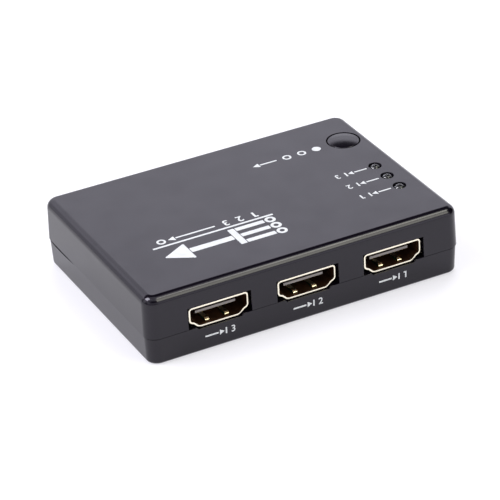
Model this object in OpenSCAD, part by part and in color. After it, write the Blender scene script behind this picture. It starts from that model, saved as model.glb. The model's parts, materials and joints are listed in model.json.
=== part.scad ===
// Video switch box with three inputs and one output.
// A two-piece plastic case holds a circuit board with the sockets, a push switch,
// three indicator lamps, a power jack and a jack for a remote eye.
// Units are millimetres, Z is up, the origin is the centre of the underside,
// and the row of input sockets faces -Y.

/* [Case] */
// Width along the row of input sockets
case_w = 80; // [79:0.5:96]
// Depth from the input side to the output side
case_d = 57; // [55:0.5:72]
// Height of the closed case without the button
case_h = 17; // [16.5:0.5:22]
// Thickness of the side walls
wall = 1.8; // [1.5:0.1:2.2]
// Thickness of the floor
floor_t = 1.8; // [1.4:0.1:2.2]
// Thickness of the roof
roof_t = 1.8; // [1.4:0.1:2.2]
// Height of the joint between the two covers
seam_z = 7; // [6.7:0.1:8]
// Radius of the four upright corners
corner_r = 3; // [2.2:0.1:5]
// Radius of the rounded edge round the roof
top_edge_r = 1.6; // [0.6:0.1:1.8]
// Radius of the rounded edge round the floor
bottom_edge_r = 0.8; // [0.4:0.1:1.2]
// Inward lean of the side walls away from the joint
draft = 0.25; // [0:0.05:0.4]
// How far the lower cover steps in at the joint
joint_step = 0.2; // [0:0.05:0.3]
// Height of the locating lip above the joint
lip_h = 1.2; // [0.8:0.1:1.8]
// Length of the locating lip along each end of the case
lip_len = 40; // [30:1:42]
// Gap round the locating lip
lip_gap = 0.1; // [0.05:0.05:0.2]

/* [Screws] */
// Diameter of the four posts in the lower cover
post_d = 6; // [5.6:0.1:6.6]
// Diameter of the four posts in the upper cover
upper_post_d = 5; // [4.4:0.1:5.4]
// Space between a post and the side walls
post_inset = 0.9; // [0.6:0.1:1.1]
// Diameter of the screw shank
screw_d = 2; // [1.8:0.1:2.4]
// Diameter of the screw head
screw_head_d = 3.8; // [3.4:0.1:4]
// Height of the screw head
screw_head_h = 1.4; // [1:0.1:1.6]
// Depth at which the screw head seats above the underside
screw_sink = 2; // [1.8:0.1:2.4]
// Length of screw held in the upper post
screw_bite = 5; // [3:0.5:6]
// Gap round the screw head
screw_head_gap = 0.3; // [0.2:0.05:0.4]
// Gap round the screw shank where it passes freely
screw_gap = 0.25; // [0.2:0.05:0.4]
// Gap round the screw core where the thread bites
pilot_gap = 0.03; // [0.02:0.01:0.05]

/* [Board] */
// Height of the board's underside
board_z = 4.4; // [4.2:0.1:4.8]
// Thickness of the board
board_t = 1.6; // [1.2:0.1:1.8]
// Gap between the board's edge and the side walls
board_gap = 0.7; // [0.5:0.1:1]
// Gap round a terminal in its board hole
hole_gap = 0.15; // [0.1:0.05:0.2]
// Length of terminal left below the board
tail = 1; // [0.6:0.1:1.4]

/* [Sockets] */
// Distance from an end of the case to the middle of the outer input socket
port_end = 17.8; // [17.6:0.1:18.4]
// Sideways place of the output socket
output_x = -12; // [-14:0.5:-6]
// Width of a socket's opening
socket_w = 14; // [13.9:0.1:14.2]
// Height of a socket's opening
socket_h = 4.55; // [4.45:0.05:4.65]
// Width of the narrow side of the opening
socket_low_w = 9.5; // [9.3:0.1:9.9]
// Thickness of the socket's metal shell
socket_wall = 0.4; // [0.3:0.05:0.45]
// Corner radius of the opening
socket_corner = 0.5; // [0.3:0.1:0.6]
// Depth of the metal shell
socket_depth = 10.5; // [10:0.1:11.5]
// Gap between the shell and the board
socket_lift = 0.25; // [0.15:0.05:0.35]
// How far the shell's mouth lies inside the case wall
mouth_recess = 0.75; // [0.4:0.05:1]
// Gap beside the shell in the upper cover
port_side_gap = 0.7; // [0.5:0.1:0.8]
// Gap above the shell in the upper cover
port_top_gap = 0.6; // [0.4:0.1:0.8]
// Gap below the shell in the lower cover
port_low_gap = 0.25; // [0.15:0.05:0.35]
// Width of the tongue inside a socket
tongue_w = 10; // [9.8:0.1:10.4]
// Thickness of the tongue
tongue_t = 1.1; // [0.9:0.05:1.2]
// Height of the tongue above the middle of the opening
tongue_up = 0.35; // [0.2:0.05:0.5]
// Distance of the tongue's front edge behind the mouth
tongue_back = 1.8; // [1.4:0.1:2.2]
// Thickness of the block behind the tongue
block_t = 2.8; // [2.2:0.1:3.2]
// Width of one contact
contact_w = 0.3; // [0.24:0.02:0.34]
// Thickness of one contact
contact_t = 0.15; // [0.1:0.01:0.18]
// Spacing of the contacts on one side of the tongue
contact_pitch = 1; // [0.98:0.01:1.02]
// Gap round a contact inside its block
contact_gap = 0.05; // [0.03:0.01:0.08]

/* [Button and lamps] */
// Distance of the button and lamps from the right side
controls_from_right = 6.6; // [6.4:0.1:7.6]
// Distance of the button from the back
button_from_back = 13.6; // [13.4:0.1:15]
// Diameter of the button's hole
button_hole_d = 8.3; // [7.4:0.1:8.6]
// Gap round the button in its hole
button_gap = 0.3; // [0.2:0.05:0.4]
// Height of the button's edge above the roof
button_edge = 0.25; // [0:0.05:0.8]
// Rise of the button's dome above its edge
button_dome = 0.2; // [0.2:0.05:1.2]
// Travel of the button
button_travel = 0.35; // [0.2:0.05:0.4]
// Distance from the button to the nearest lamp
lamp_from_button = 15.4; // [14:0.1:16]
// Spacing of the lamps
lamp_pitch = 5.75; // [5.2:0.05:6]
// Diameter of a lamp's hole
lamp_hole_d = 3.1; // [2.8:0.05:3.3]
// Gap round a lamp in its hole
lamp_gap = 0.1; // [0.05:0.05:0.2]
// Distance of the lamp's tip below the roof's face
lamp_sink = 0.1; // [0:0.1:0.8]
// Length of a lamp's body
lamp_len = 5.3; // [4.6:0.1:5.6]

/* [Push switch] */
// Side of the square switch body
switch_side = 6; // [5.8:0.1:6.2]
// Distance of the plunger's tip below the button's flange
switch_drop = 1.3; // [1.3:0.1:1.8]
// Height of the switch body
switch_body_h = 3; // [2.8:0.1:3.4]
// Diameter of the plunger
plunger_d = 3.4; // [3.2:0.1:3.6]

/* [Jacks] */
// Sideways place of the power jack
power_x = 20; // [18:0.5:22]
// Diameter of the power jack's bore
power_bore_d = 4.2; // [4:0.1:4.4]
// Diameter of the power jack's pin
power_pin_d = 1.3; // [1.1:0.05:1.5]
// Sideways place of the remote eye's jack
eye_x = 6; // [5.5:0.5:9]
// Diameter of the remote eye jack's bore
eye_bore_d = 3.6; // [3.55:0.05:3.7]
// Distance of both jacks' mouths inside the back face
jack_recess = 0.2; // [0.1:0.05:0.4]
// Gap round a jack's nose in the case
nose_gap = 0.2; // [0.15:0.05:0.3]

/* [Hidden] */
$fn = 48;
cut = 1;

half_w = case_w / 2;
half_d = case_d / 2;
port_pitch = half_w - port_end;
inner_r = max(corner_r - wall, 0.4);
roof_z = case_h - roof_t;
lip_out = wall / 2;
board_top = board_z + board_t;
board_w = case_w - 2 * (wall + board_gap);
board_d = case_d - 2 * (wall + board_gap);
board_r = max(inner_r - board_gap, 0.5);
post_x = half_w - wall - post_inset - post_d / 2;
post_y = half_d - wall - post_inset - post_d / 2;
mouth_y = -half_d + mouth_recess;
port_z = board_top + socket_lift + socket_wall + socket_h / 2;
port_half = socket_w / 2 + socket_wall + port_side_gap;
port_top = port_z + socket_h / 2 + socket_wall + port_top_gap;
controls_x = half_w - controls_from_right;
button_y = half_d - button_from_back;
button_d = button_hole_d - 2 * button_gap;
button_flange_t = 0.8;
flange_gap = 0.3;
button_flange_top = roof_z - 0.1;
button_flange_z = button_flange_top - button_flange_t;
switch_h = button_flange_z - switch_drop - board_top;
plunger_grip = 0.8;
lamp_y = [for (i = [0 : 2]) button_y - lamp_from_button - (2 - i) * lamp_pitch];
lamp_r = lamp_hole_d / 2 - lamp_gap;
lamp_z = case_h - lamp_sink - lamp_len;
lamp_lead = 0.5;
lamp_lead_x = 1.27;
leg_y = [3.2, 8.6];
leg_w = 1.6;
switch_leg_x = switch_side / 2 + 0.35;
switch_leg_y = 2.25;
switch_leg_w = 0.7;
switch_leg_t = 0.3;
nose_len = wall + 0.5 - jack_recess;
power_body = [7, 7.6, 6];
eye_body = [6, 11, 5];
power_nose_d = 5.8;
eye_nose_d = 4.8;
power_z = board_top + power_body.z / 2;
eye_z = board_top + eye_body.z / 2;
strip_t = 0.3;
strip_w = 1.2;

// Unit vector along v
function unit(v) = v / norm(v);

// Outward normal of the edge from a to b of a counter-clockwise outline
function edge_normal(a, b) = let(d = unit(b - a)) [d.y, -d.x];

// Outline moved outward by g on every edge
function grown(pts, g) = let(n = len(pts)) [for (i = [0 : n - 1])
    let(n1 = edge_normal(pts[(i + n - 1) % n], pts[i]), n2 = edge_normal(pts[i], pts[(i + 1) % n]))
    pts[i] + g * (n1 + n2) / (1 + n1 * n2)];

// Outline with each corner turned into an arc of radius r
function rounded(pts, r, steps = 4) = let(n = len(pts)) [for (i = [0 : n - 1])
    let(u = unit(pts[(i + n - 1) % n] - pts[i]), v = unit(pts[(i + 1) % n] - pts[i]),
        half = acos(u * v) / 2, c = pts[i] + unit(u + v) * r / sin(half),
        d0 = unit(pts[i] + u * r / tan(half) - c), d1 = unit(pts[i] + v * r / tan(half) - c),
        turn = 180 - 2 * half)
    for (k = [0 : steps])
        c + r * (sin((1 - k / steps) * turn) * d0 + sin(k / steps * turn) * d1) / sin(turn)];

// Sideways direction of an open path at point i
function side(path, i) = let(n = len(path),
    d1 = i > 0 ? unit(path[i] - path[i - 1]) : unit(path[1] - path[0]),
    d2 = i < n - 1 ? unit(path[i + 1] - path[i]) : d1,
    n1 = [-d1.y, d1.x], n2 = [-d2.y, d2.x]) (n1 + n2) / (1 + n1 * n2);

// Closed outline of a strip of thickness t along an open path
function strip(path, t) = let(n = len(path)) concat(
    [for (i = [0 : n - 1]) path[i] + side(path, i) * t / 2],
    [for (i = [n - 1 : -1 : 0]) path[i] - side(path, i) * t / 2]);

// Opening of a socket, wide side up, counter-clockwise in x and z
function opening() = let(a = socket_w / 2, b = socket_low_w / 2, h = socket_h / 2) [
    [-b, -h], [b, -h], [a - 0.95, -0.24 * socket_h], [a, -0.12 * socket_h], [a, h],
    [-a, h], [-a, -0.12 * socket_h], [-a + 0.95, -0.24 * socket_h]];

// Sideways place of input socket i
function input_x(i) = (2 - i) * port_pitch;

// Flat outline in x and z drawn out along y
module along_y(len) translate([0, len, 0]) rotate([90, 0, 0]) linear_extrude(len) children();

// Flat outline in y and z drawn out along x, centred
module along_x(len) translate([-len / 2, 0, 0]) rotate([90, 0, 90]) linear_extrude(len) children();

// Box centred in x and y that stands on z = 0
module block(size) translate([-size.x / 2, -size.y / 2, 0]) cube(size);

// Plate with rounded corners that stands on z = 0
module plate(w, d, r, h) {
    block([w - 2 * r, d, h]);
    block([w, d - 2 * r, h]);
    for (x = [-1, 1], y = [-1, 1])
        translate([x * (w / 2 - r), y * (d / 2 - r), 0]) cylinder(r = r, h = h);
}

// Outside of a cover: levels are pairs of height and inward offset
module cover_block(levels) hull()
    for (x = [-1, 1], y = [-1, 1])
        translate([x * (half_w - corner_r), y * (half_d - corner_r), 0])
            rotate_extrude($fn = 32)
                polygon(concat([[0, levels[0][0]]], [for (l = levels) [corner_r - l[1], l[0]]],
                    [[0, levels[len(levels) - 1][0]]]));

// Zone of the locating lip at both ends of the case, longer by g at each side
module lip_zone(g) for (x = [-1, 1]) translate([x * half_w, 0, 0])
    block([4 * wall, lip_len + 2 * g, case_h]);

// Four screw places
module at_posts() for (x = [-1, 1], y = [-1, 1]) translate([x * post_x, y * post_y, 0]) children();

// Input socket i with its mouth at the front wall
module at_input(i) translate([input_x(i), mouth_y, port_z]) children();

// Output socket with its mouth at the back wall
module at_output() translate([output_x, -mouth_y, port_z]) rotate([0, 0, 180]) children();

// All four sockets
module at_sockets() {
    for (i = [1 : 3]) at_input(i) children();
    at_output() children();
}

// Jack of the power lead and jack of the remote eye, mouths at the back wall
module at_power() translate([power_x, half_d - jack_recess, power_z]) rotate([0, 0, 180]) children();
module at_eye() translate([eye_x, half_d - jack_recess, eye_z]) rotate([0, 0, 180]) children();

// Holes for the jacks' noses through the back wall
module nose_holes() {
    at_power() translate([0, -cut, 0]) rotate([-90, 0, 0])
        cylinder(d = power_nose_d + 2 * nose_gap, h = nose_len + 2 * cut);
    at_eye() translate([0, -cut, 0]) rotate([-90, 0, 0])
        cylinder(d = eye_nose_d + 2 * nose_gap, h = nose_len + 2 * cut);
}

// Square openings above the joint at each socket
module port_gaps() at_sockets()
    translate([-port_half, -mouth_recess - cut, seam_z - port_z])
        cube([2 * port_half, wall + 2 * cut, port_top - seam_z]);

// Places of the push switch and the lamps
module at_switch() translate([controls_x, button_y, board_top]) children();
module at_lamp(i) translate([controls_x, lamp_y[i - 1], lamp_z]) children();

module top_cover() color("#2b2b2f") difference() {
    union() {
        difference() {
            cover_block(concat([[seam_z, 0]], [for (k = [0 : 6])
                [case_h - top_edge_r + top_edge_r * sin(15 * k),
                    draft + top_edge_r * (1 - cos(15 * k))]]));
            translate([0, 0, seam_z - cut])
                plate(case_w - 2 * wall, case_d - 2 * wall, inner_r, roof_z - seam_z + cut);
            intersection() {
                translate([0, 0, seam_z - cut])
                    plate(case_w - 2 * lip_out + 2 * lip_gap, case_d - 2 * lip_out + 2 * lip_gap,
                        inner_r + wall - lip_out, lip_h + lip_gap + cut);
                lip_zone(lip_gap);
            }
        }
        at_posts() translate([0, 0, board_top])
            cylinder(d = upper_post_d, h = roof_z - board_top + roof_t / 2);
    }
    at_posts() translate([0, 0, board_top - cut])
        cylinder(d = screw_d + 2 * pilot_gap, h = screw_bite + 0.5 + cut);
    translate([0, 0, -cut]) port_gaps();
    port_gaps();
    nose_holes();
    translate([controls_x, button_y, roof_z - cut]) cylinder(d = button_hole_d, h = roof_t + 2 * cut);
    for (i = [1 : 3]) translate([controls_x, lamp_y[i - 1], roof_z - cut])
        cylinder(d = lamp_hole_d, h = roof_t + 2 * cut);
}

module bottom_cover() color("#26262a") difference() {
    union() {
        difference() {
            cover_block(concat([for (k = [0 : 6])
                [bottom_edge_r * (1 - cos(15 * k)),
                    joint_step + draft + bottom_edge_r * (1 - sin(15 * k))]], [[seam_z, joint_step]]));
            translate([0, 0, floor_t])
                plate(case_w - 2 * wall, case_d - 2 * wall, inner_r, seam_z);
        }
        difference() {
            intersection() {
                translate([0, 0, seam_z - cut]) plate(case_w - 2 * lip_out, case_d - 2 * lip_out,
                    inner_r + wall - lip_out - lip_gap, lip_h + cut);
                lip_zone(0);
            }
            translate([0, 0, floor_t])
                plate(case_w - 2 * wall, case_d - 2 * wall, inner_r, seam_z + lip_h);
        }
        at_posts() translate([0, 0, floor_t / 2]) cylinder(d = post_d, h = board_z - floor_t / 2);
    }
    at_posts() translate([0, 0, -cut]) cylinder(d = screw_d + 2 * screw_gap, h = board_z + 2 * cut);
    at_posts() translate([0, 0, -cut]) cylinder(d = screw_head_d + 2 * screw_head_gap, h = screw_sink + cut);
    port_gaps();
    at_sockets() translate([0, -mouth_recess - cut, 0]) along_y(wall + 2 * cut)
        polygon(grown(opening(), socket_wall + port_low_gap));
    nose_holes();
}

module case_screws() color("#b9bcc0") at_posts() difference() {
    union() {
        translate([0, 0, screw_sink - screw_head_h]) cylinder(d = screw_head_d, h = screw_head_h);
        cylinder_z = screw_sink;
        translate([0, 0, cylinder_z]) cylinder(d = screw_d, h = board_top + screw_bite - 0.8 - cylinder_z);
        translate([0, 0, board_top + screw_bite - 0.8]) cylinder(d1 = screw_d, d2 = screw_d / 2, h = 0.8);
    }
    for (a = [0, 90]) rotate(a) translate([0, 0, screw_sink - screw_head_h - cut])
        block([screw_head_d * 0.6, screw_head_d * 0.18, screw_head_h * 0.6 + cut]);
}

module circuit_board() color("#1f5a34") difference() {
    translate([0, 0, board_z]) plate(board_w, board_d, board_r, board_t);
    translate([0, 0, board_z - cut]) {
        at_posts() cylinder(d = screw_d + 2 * screw_gap, h = board_t + 2 * cut);
        for (x = [-1, 1], y = [-1, 1])
            translate([controls_x + x * switch_leg_x, button_y + y * switch_leg_y, 0])
                cylinder(d = switch_leg_w + 0.2 + 2 * hole_gap, h = board_t + 2 * cut);
        for (i = [0 : 2], x = [-1, 1])
            translate([controls_x + x * lamp_lead_x, lamp_y[i], 0])
                cylinder(d = lamp_lead * 1.42 + hole_gap, h = board_t + 2 * cut);
    }
    at_sockets() for (x = [-1, 1], y = leg_y)
        translate([x * (socket_w + socket_wall) / 2, y, board_z - port_z - cut])
            block([socket_wall + 2 * hole_gap, leg_w + 2 * hole_gap, board_t + 2 * cut]);
    at_power() {
        translate([0, power_pin_y, board_z - power_z - cut])
            block([strip_w + 2 * hole_gap, strip_t + 2 * hole_gap, board_t + 2 * cut]);
        translate([power_spring_x, power_spring_y, board_z - power_z - cut])
            block([strip_t + 2 * hole_gap, strip_w + 2 * hole_gap, board_t + 2 * cut]);
    }
    at_eye() for (c = eye_contacts)
        translate([c[0], c[1], board_z - eye_z - cut])
            block([strip_t + 2 * hole_gap, strip_w + 2 * hole_gap, board_t + 2 * cut]);
}

// Metal shell of a socket: bent tube with spring fingers above and below and four board legs
module socket_shell() {
    low = -socket_h / 2;
    finger_w = 1;
    window_y = [1.2, 6.4];
    difference() {
        along_y(socket_depth) difference() {
            polygon(rounded(grown(opening(), socket_wall), socket_corner + socket_wall));
            polygon(rounded(opening(), socket_corner));
        }
        for (x = [-2.6, 2.6], s = [-1, 1])
            translate([x, window_y[0], s * (socket_h / 2 + socket_wall / 2) - socket_wall])
                translate([-finger_w / 2 - 0.3, 0, 0])
                    cube([finger_w + 0.6, window_y[1] - window_y[0], 2 * socket_wall]);
    }
    for (x = [-2.6, 2.6]) {
        translate([x, 0, 0]) along_x(finger_w)
            polygon(strip([[window_y[1] + 0.4, low - socket_wall / 2], [window_y[1] - 0.3, low - socket_wall / 2],
                [3, low + 0.35], [2.4, low + 0.35], [1.5, low - 0.05]], 0.2));
        translate([x, 0, 0]) along_x(finger_w)
            polygon(strip([[window_y[1] + 0.4, -low + socket_wall / 2], [window_y[1] - 0.3, -low + socket_wall / 2],
                [3, -low - 0.25], [2.4, -low - 0.25], [1.5, -low + 0.05]], 0.2));
    }
    for (x = [-1, 1], y = leg_y)
        translate([x * (socket_w + socket_wall) / 2, y, board_z - tail - port_z])
            block([socket_wall, leg_w, port_z - board_z + tail + 0.6]);
}

// Contact places: side of the tongue (1 above, -1 below) and sideways offset
contact_places = concat([for (i = [0 : 9]) [1, (i - 4.5) * contact_pitch]],
    [for (i = [0 : 8]) [-1, (i - 4) * contact_pitch]]);

// Height of a contact's middle line on its side of the tongue
function contact_z(s) = tongue_up + s * (tongue_t + contact_t) / 2;

// Plastic block and tongue of a socket
module socket_insulator() {
    back = socket_depth - 0.1;
    difference() {
        union() {
            translate([0, back - block_t, 0]) along_y(block_t)
                polygon(rounded(grown(opening(), -0.06), socket_corner));
            translate([0, 0, tongue_up]) along_x(tongue_w)
                polygon([[tongue_back + 0.3, -tongue_t / 2], [back - block_t / 2, -tongue_t / 2],
                    [back - block_t / 2, tongue_t / 2], [tongue_back + 0.3, tongue_t / 2],
                    [tongue_back, tongue_t / 2 - 0.25], [tongue_back, -tongue_t / 2 + 0.25]]);
        }
        for (c = contact_places)
            translate([c[1], back - block_t - cut, c[0] > 0 ? tongue_up + tongue_t / 2
                    : tongue_up - tongue_t / 2 - contact_t - contact_gap])
                translate([-contact_w / 2 - contact_gap, 0, 0])
                    cube([contact_w + 2 * contact_gap, block_t + 2 * cut, contact_t + contact_gap]);
    }
}

// Nineteen flat contacts of a socket with their feet on the board
module socket_contacts() {
    foot_z = board_top - port_z + contact_t / 2;
    for (c = contact_places) {
        drop_y = socket_depth + (c[0] > 0 ? 1.1 : 0.5);
        translate([c[1], 0, 0]) along_x(contact_w)
            polygon(strip([[tongue_back + 0.5, contact_z(c[0])], [drop_y, contact_z(c[0])],
                [drop_y, foot_z], [socket_depth + 2, foot_z]], contact_t));
    }
}

module input_1_shell() color("#d9c48a") at_input(1) socket_shell();
module input_2_shell() color("#d9c48a") at_input(2) socket_shell();
module input_3_shell() color("#d9c48a") at_input(3) socket_shell();
module output_shell() color("#d9c48a") at_output() socket_shell();
module input_1_insulator() color("#3a3a3c") at_input(1) socket_insulator();
module input_2_insulator() color("#3a3a3c") at_input(2) socket_insulator();
module input_3_insulator() color("#3a3a3c") at_input(3) socket_insulator();
module output_insulator() color("#3a3a3c") at_output() socket_insulator();
module input_1_contacts() color("#e0c060") at_input(1) socket_contacts();
module input_2_contacts() color("#e0c060") at_input(2) socket_contacts();
module input_3_contacts() color("#e0c060") at_input(3) socket_contacts();
module output_contacts() color("#e0c060") at_output() socket_contacts();

module select_button() color("#2f2f33") translate([controls_x, button_y, 0]) {
    edge_z = case_h + button_edge;
    ball_r = (button_d * button_d / 4 + button_dome * button_dome) / (2 * button_dome);
    tip_z = board_top + switch_h;
    intersection() {
        translate([0, 0, button_flange_z]) cylinder(d = button_d, h = edge_z + button_dome - button_flange_z);
        translate([0, 0, edge_z + button_dome - ball_r]) sphere(r = ball_r, $fn = 96);
    }
    intersection() {
        translate([0, 0, button_flange_z]) cylinder(d = button_hole_d + 1.4, h = button_flange_t);
        translate([half_w - wall - flange_gap - controls_x - case_w, -case_d / 2, 0])
            cube([case_w, case_d, case_h]);
    }
    difference() {
        translate([0, 0, tip_z - plunger_grip])
            cylinder(d = plunger_d + 1.8, h = button_flange_z - tip_z + plunger_grip + button_flange_t / 2);
        translate([0, 0, tip_z - plunger_grip - cut]) cylinder(d = plunger_d + 0.2, h = plunger_grip + cut);
    }
}

// Inner sizes of the push switch, measured from the board
well_d = switch_side - 1.1;
well_z = 0.9;
dome_h = 0.55;
dome_t = 0.12;
dome_r = well_d / 2 - 0.35;

module switch_base() color("#1c1c1e") at_switch() difference() {
    block([switch_side, switch_side, switch_body_h]);
    translate([0, 0, well_z]) cylinder(d = well_d, h = switch_body_h);
}

module switch_dome() color("#c9ccd0") at_switch() rotate_extrude()
    polygon(concat(
        [for (k = [0 : 8]) [dome_r * k / 8, well_z + dome_h - (dome_h - dome_t) * pow(k / 8, 2)]],
        [for (k = [8 : -1 : 0]) [dome_r * k / 8, well_z + dome_h - dome_t - (dome_h - dome_t) * pow(k / 8, 2)]]));

module switch_plunger() color("#d8d8d6") at_switch() {
    translate([0, 0, well_z + dome_h + 0.02])
        cylinder(d = well_d - 0.4, h = switch_body_h - 0.1 - well_z - dome_h - 0.02);
    translate([0, 0, switch_body_h - 0.3]) cylinder(d = plunger_d, h = switch_h - switch_body_h + 0.3);
}

module switch_plate() color("#b4b7bb") at_switch() {
    difference() {
        translate([0, 0, switch_body_h]) block([switch_side, switch_side + 0.6, 0.3]);
        translate([0, 0, switch_body_h - cut]) cylinder(d = plunger_d + 0.3, h = 0.3 + 2 * cut);
    }
    for (y = [-1, 1]) translate([0, y * (switch_side / 2 + 0.15), 1.2])
        block([2, 0.3, switch_body_h - 1.2 + 0.1]);
}

module switch_legs() color("#c4c7cb") at_switch() for (x = [-1, 1], y = [-1, 1])
    translate([0, y * switch_leg_y, 0]) rotate([0, 0, x * 90 - 90]) along_leg();

// One bent terminal of the push switch on its +X side
module along_leg() rotate([90, 0, 0]) translate([0, 0, -switch_leg_w / 2]) linear_extrude(switch_leg_w)
    polygon(strip([[switch_side / 2, 0.7], [switch_leg_x, 0.7], [switch_leg_x, -board_t - tail]], switch_leg_t));

// Clear body of an indicator lamp
module lamp() {
    cylinder(r = lamp_r, h = lamp_len - lamp_r);
    translate([0, 0, lamp_len - lamp_r]) sphere(r = lamp_r);
    cylinder(r = lamp_r + 0.45, h = 1);
}
module lamp_1() color("#8d8f94") at_lamp(1) lamp();
module lamp_2() color("#8d8f94") at_lamp(2) lamp();
module lamp_3() color("#8d8f94") at_lamp(3) lamp();

module lamp_leads() color("#c4c7cb") for (i = [1 : 3], x = [-1, 1]) at_lamp(i)
    translate([x * lamp_lead_x, 0, board_z - tail - lamp_z])
        block([lamp_lead, lamp_lead, lamp_z - board_z + tail]);

// Inner places of the power jack, measured from its mouth
power_back = nose_len + power_body.y;
power_pin_y = power_back + 0.15;
power_spring_x = power_bore_d / 2 + 0.1 + strip_t / 2;
power_spring_y = nose_len + 3.5;

module power_jack_housing() color("#17171a") at_power() difference() {
    union() {
        rotate([-90, 0, 0]) cylinder(d = power_nose_d, h = nose_len + 0.5);
        translate([0, nose_len + power_body.y / 2, -power_body.z / 2]) block(power_body);
    }
    translate([0, -cut, 0]) rotate([-90, 0, 0]) cylinder(d = power_bore_d, h = power_back - 1.4 + cut);
    rotate([-90, 0, 0]) cylinder(d = power_pin_d + 0.1, h = power_back + cut);
    translate([power_bore_d / 4 + power_spring_x / 2 + strip_t / 4 + 0.05, power_spring_y, -power_body.z / 2 - cut])
        block([power_spring_x - power_bore_d / 2 + strip_t / 2 + 0.6, strip_w + 0.2, power_body.z / 2 + 1.2 + cut]);
}

module power_jack_pin() color("#c9ccd0") at_power() {
    translate([0, 1.2, 0]) rotate([-90, 0, 0]) cylinder(d = power_pin_d, h = power_back - 1.2 + 0.1);
    translate([0, 1.2, 0]) sphere(d = power_pin_d);
    translate([0, power_back, 0]) rotate([-90, 0, 0]) cylinder(d = 2.6, h = strip_t);
    translate([0, power_pin_y, board_z - tail - power_z]) block([strip_w, strip_t, power_z - board_z + tail]);
}

module power_jack_spring() color("#c9ccd0") at_power()
    translate([power_spring_x, power_spring_y, board_z - tail - power_z])
        block([strip_t, strip_w, power_z - board_z + tail + 1]);

// Contact places of the remote eye's jack: sideways and inward
eye_contacts = [for (k = [0 : 2]) [(k % 2 == 0 ? -1 : 1) * (eye_bore_d / 2 + 0.15 + strip_t / 2),
    nose_len + 2 + 3 * k]];

module eye_jack_housing() color("#17171a") at_eye() difference() {
    union() {
        rotate([-90, 0, 0]) cylinder(d = eye_nose_d, h = nose_len + 0.5);
        translate([0, nose_len + eye_body.y / 2, -eye_body.z / 2]) block(eye_body);
    }
    translate([0, -cut, 0]) rotate([-90, 0, 0]) cylinder(d = eye_bore_d, h = nose_len + eye_body.y + 2 * cut);
    for (c = eye_contacts) {
        translate([c[0], c[1], -eye_body.z / 2 - cut])
            block([strip_t + 0.2, strip_w + 0.2, eye_body.z / 2 + 1.2 + cut]);
        translate([c[0] * 0.8, c[1], -0.5]) block([abs(c[0]) * 0.4, strip_w, 1]);
    }
}

module eye_jack_contacts() color("#c9ccd0") at_eye() for (c = eye_contacts)
    translate([c[0], c[1], board_z - tail - eye_z])
        block([strip_t, strip_w, eye_z - board_z + tail + 1]);

// Places and sizes of the parts on the board
switching_behind = 15.25;
switching_side = 10;
switching_h = 1.4;
ceramic_pitch = 3;
ceramic_out = 3;
row_behind = 4;
switching_x = 0;
switching_y = mouth_y + socket_depth + switching_behind;
control_x = 17;
control_y = 2;
supply_end = 13;
regulator_x = supply_end - half_w;
regulator_y = -2;
chip_lift = 0.1;

// Bent lead along +Y with its foot on the board
module lead(w, from, reach, z, t) along_x(w)
    polygon(strip([[from, z], [from + reach * 0.35, z], [from + reach * 0.55, t / 2], [from + reach, t / 2]], t));

module switching_chip() color("#1a1a1c") translate([switching_x, switching_y, board_top + chip_lift])
    block([switching_side, switching_side, switching_h]);

module switching_chip_leads() color("#c4c7cb") translate([switching_x, switching_y, board_top])
    for (a = [0 : 90 : 270]) rotate(a) for (i = [0 : 15])
        translate([(i - 7.5) * 0.5, 0, 0]) lead(0.22, switching_side / 2, 1, 0.8, 0.15);

module control_chip() color("#1a1a1c") translate([control_x, control_y, board_top + chip_lift])
    block([8.7, 3.9, 1.5]);

module control_chip_leads() color("#c4c7cb") translate([control_x, control_y, board_top])
    for (a = [0, 180]) rotate(a) for (i = [0 : 6])
        translate([(i - 3) * 1.27, 0, 0]) lead(0.42, 1.95, 1.05, 0.8, 0.2);

module regulator() color("#1a1a1c") translate([regulator_x, regulator_y, board_top + chip_lift])
    block([6.5, 3.5, 1.6]);

module regulator_leads() color("#c4c7cb") translate([regulator_x, regulator_y, board_top]) {
    for (i = [-1 : 1]) translate([i * 2.3, 0, 0]) rotate(180) lead(0.7, 1.75, 1.75, 0.8, 0.28);
    lead(3, 1.75, 1.75, 0.8, 0.28);
}

can_d = 5;
can_places = [[regulator_x, 8], [regulator_x, 14.5]];
module capacitor_bases() color("#1c1c1e") for (p = can_places) translate([p.x, p.y, board_top])
    block([can_d + 0.3, can_d + 0.3, 0.8]);
module capacitor_cans() color("#c3c6ca") for (p = can_places) translate([p.x, p.y, board_top + 0.8])
    cylinder(d = can_d, h = 5);

module chip_capacitors() color("#b59a6c") {
    for (i = [0 : 3], y = [-1, 1])
        translate([switching_x + (i - 1.5) * ceramic_pitch,
            switching_y + y * (switching_side / 2 + ceramic_out), board_top]) block([1.6, 0.8, 0.8]);
    for (i = [0 : 2]) translate([regulator_x + 6, regulator_y + ceramic_pitch * (i - 1), board_top]) block([2, 1.25, 1]);
}

module chip_resistors() color("#222226") for (i = [1 : 3], k = [0 : 3])
    translate([input_x(i) + (k - 1.5) * 1.8, mouth_y + socket_depth + row_behind, board_top]) block([0.8, 1.6, 0.45]);

module supply_diodes() color("#1a1a1c") for (i = [1 : 3])
    translate([input_x(i) + 6.4, mouth_y + socket_depth + row_behind, board_top]) block([1.6, 2.7, 1.1]);

top_cover();
bottom_cover();
case_screws();
circuit_board();
input_1_shell();
input_1_insulator();
input_1_contacts();
input_2_shell();
input_2_insulator();
input_2_contacts();
input_3_shell();
input_3_insulator();
input_3_contacts();
output_shell();
output_insulator();
output_contacts();
select_button();
switch_base();
switch_plate();
switch_plunger();
switch_dome();
switch_legs();
lamp_1();
lamp_2();
lamp_3();
lamp_leads();
power_jack_housing();
power_jack_pin();
power_jack_spring();
eye_jack_housing();
eye_jack_contacts();
switching_chip();
switching_chip_leads();
control_chip();
control_chip_leads();
regulator();
regulator_leads();
capacitor_cans();
capacitor_bases();
chip_capacitors();
chip_resistors();
supply_diodes();
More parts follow.
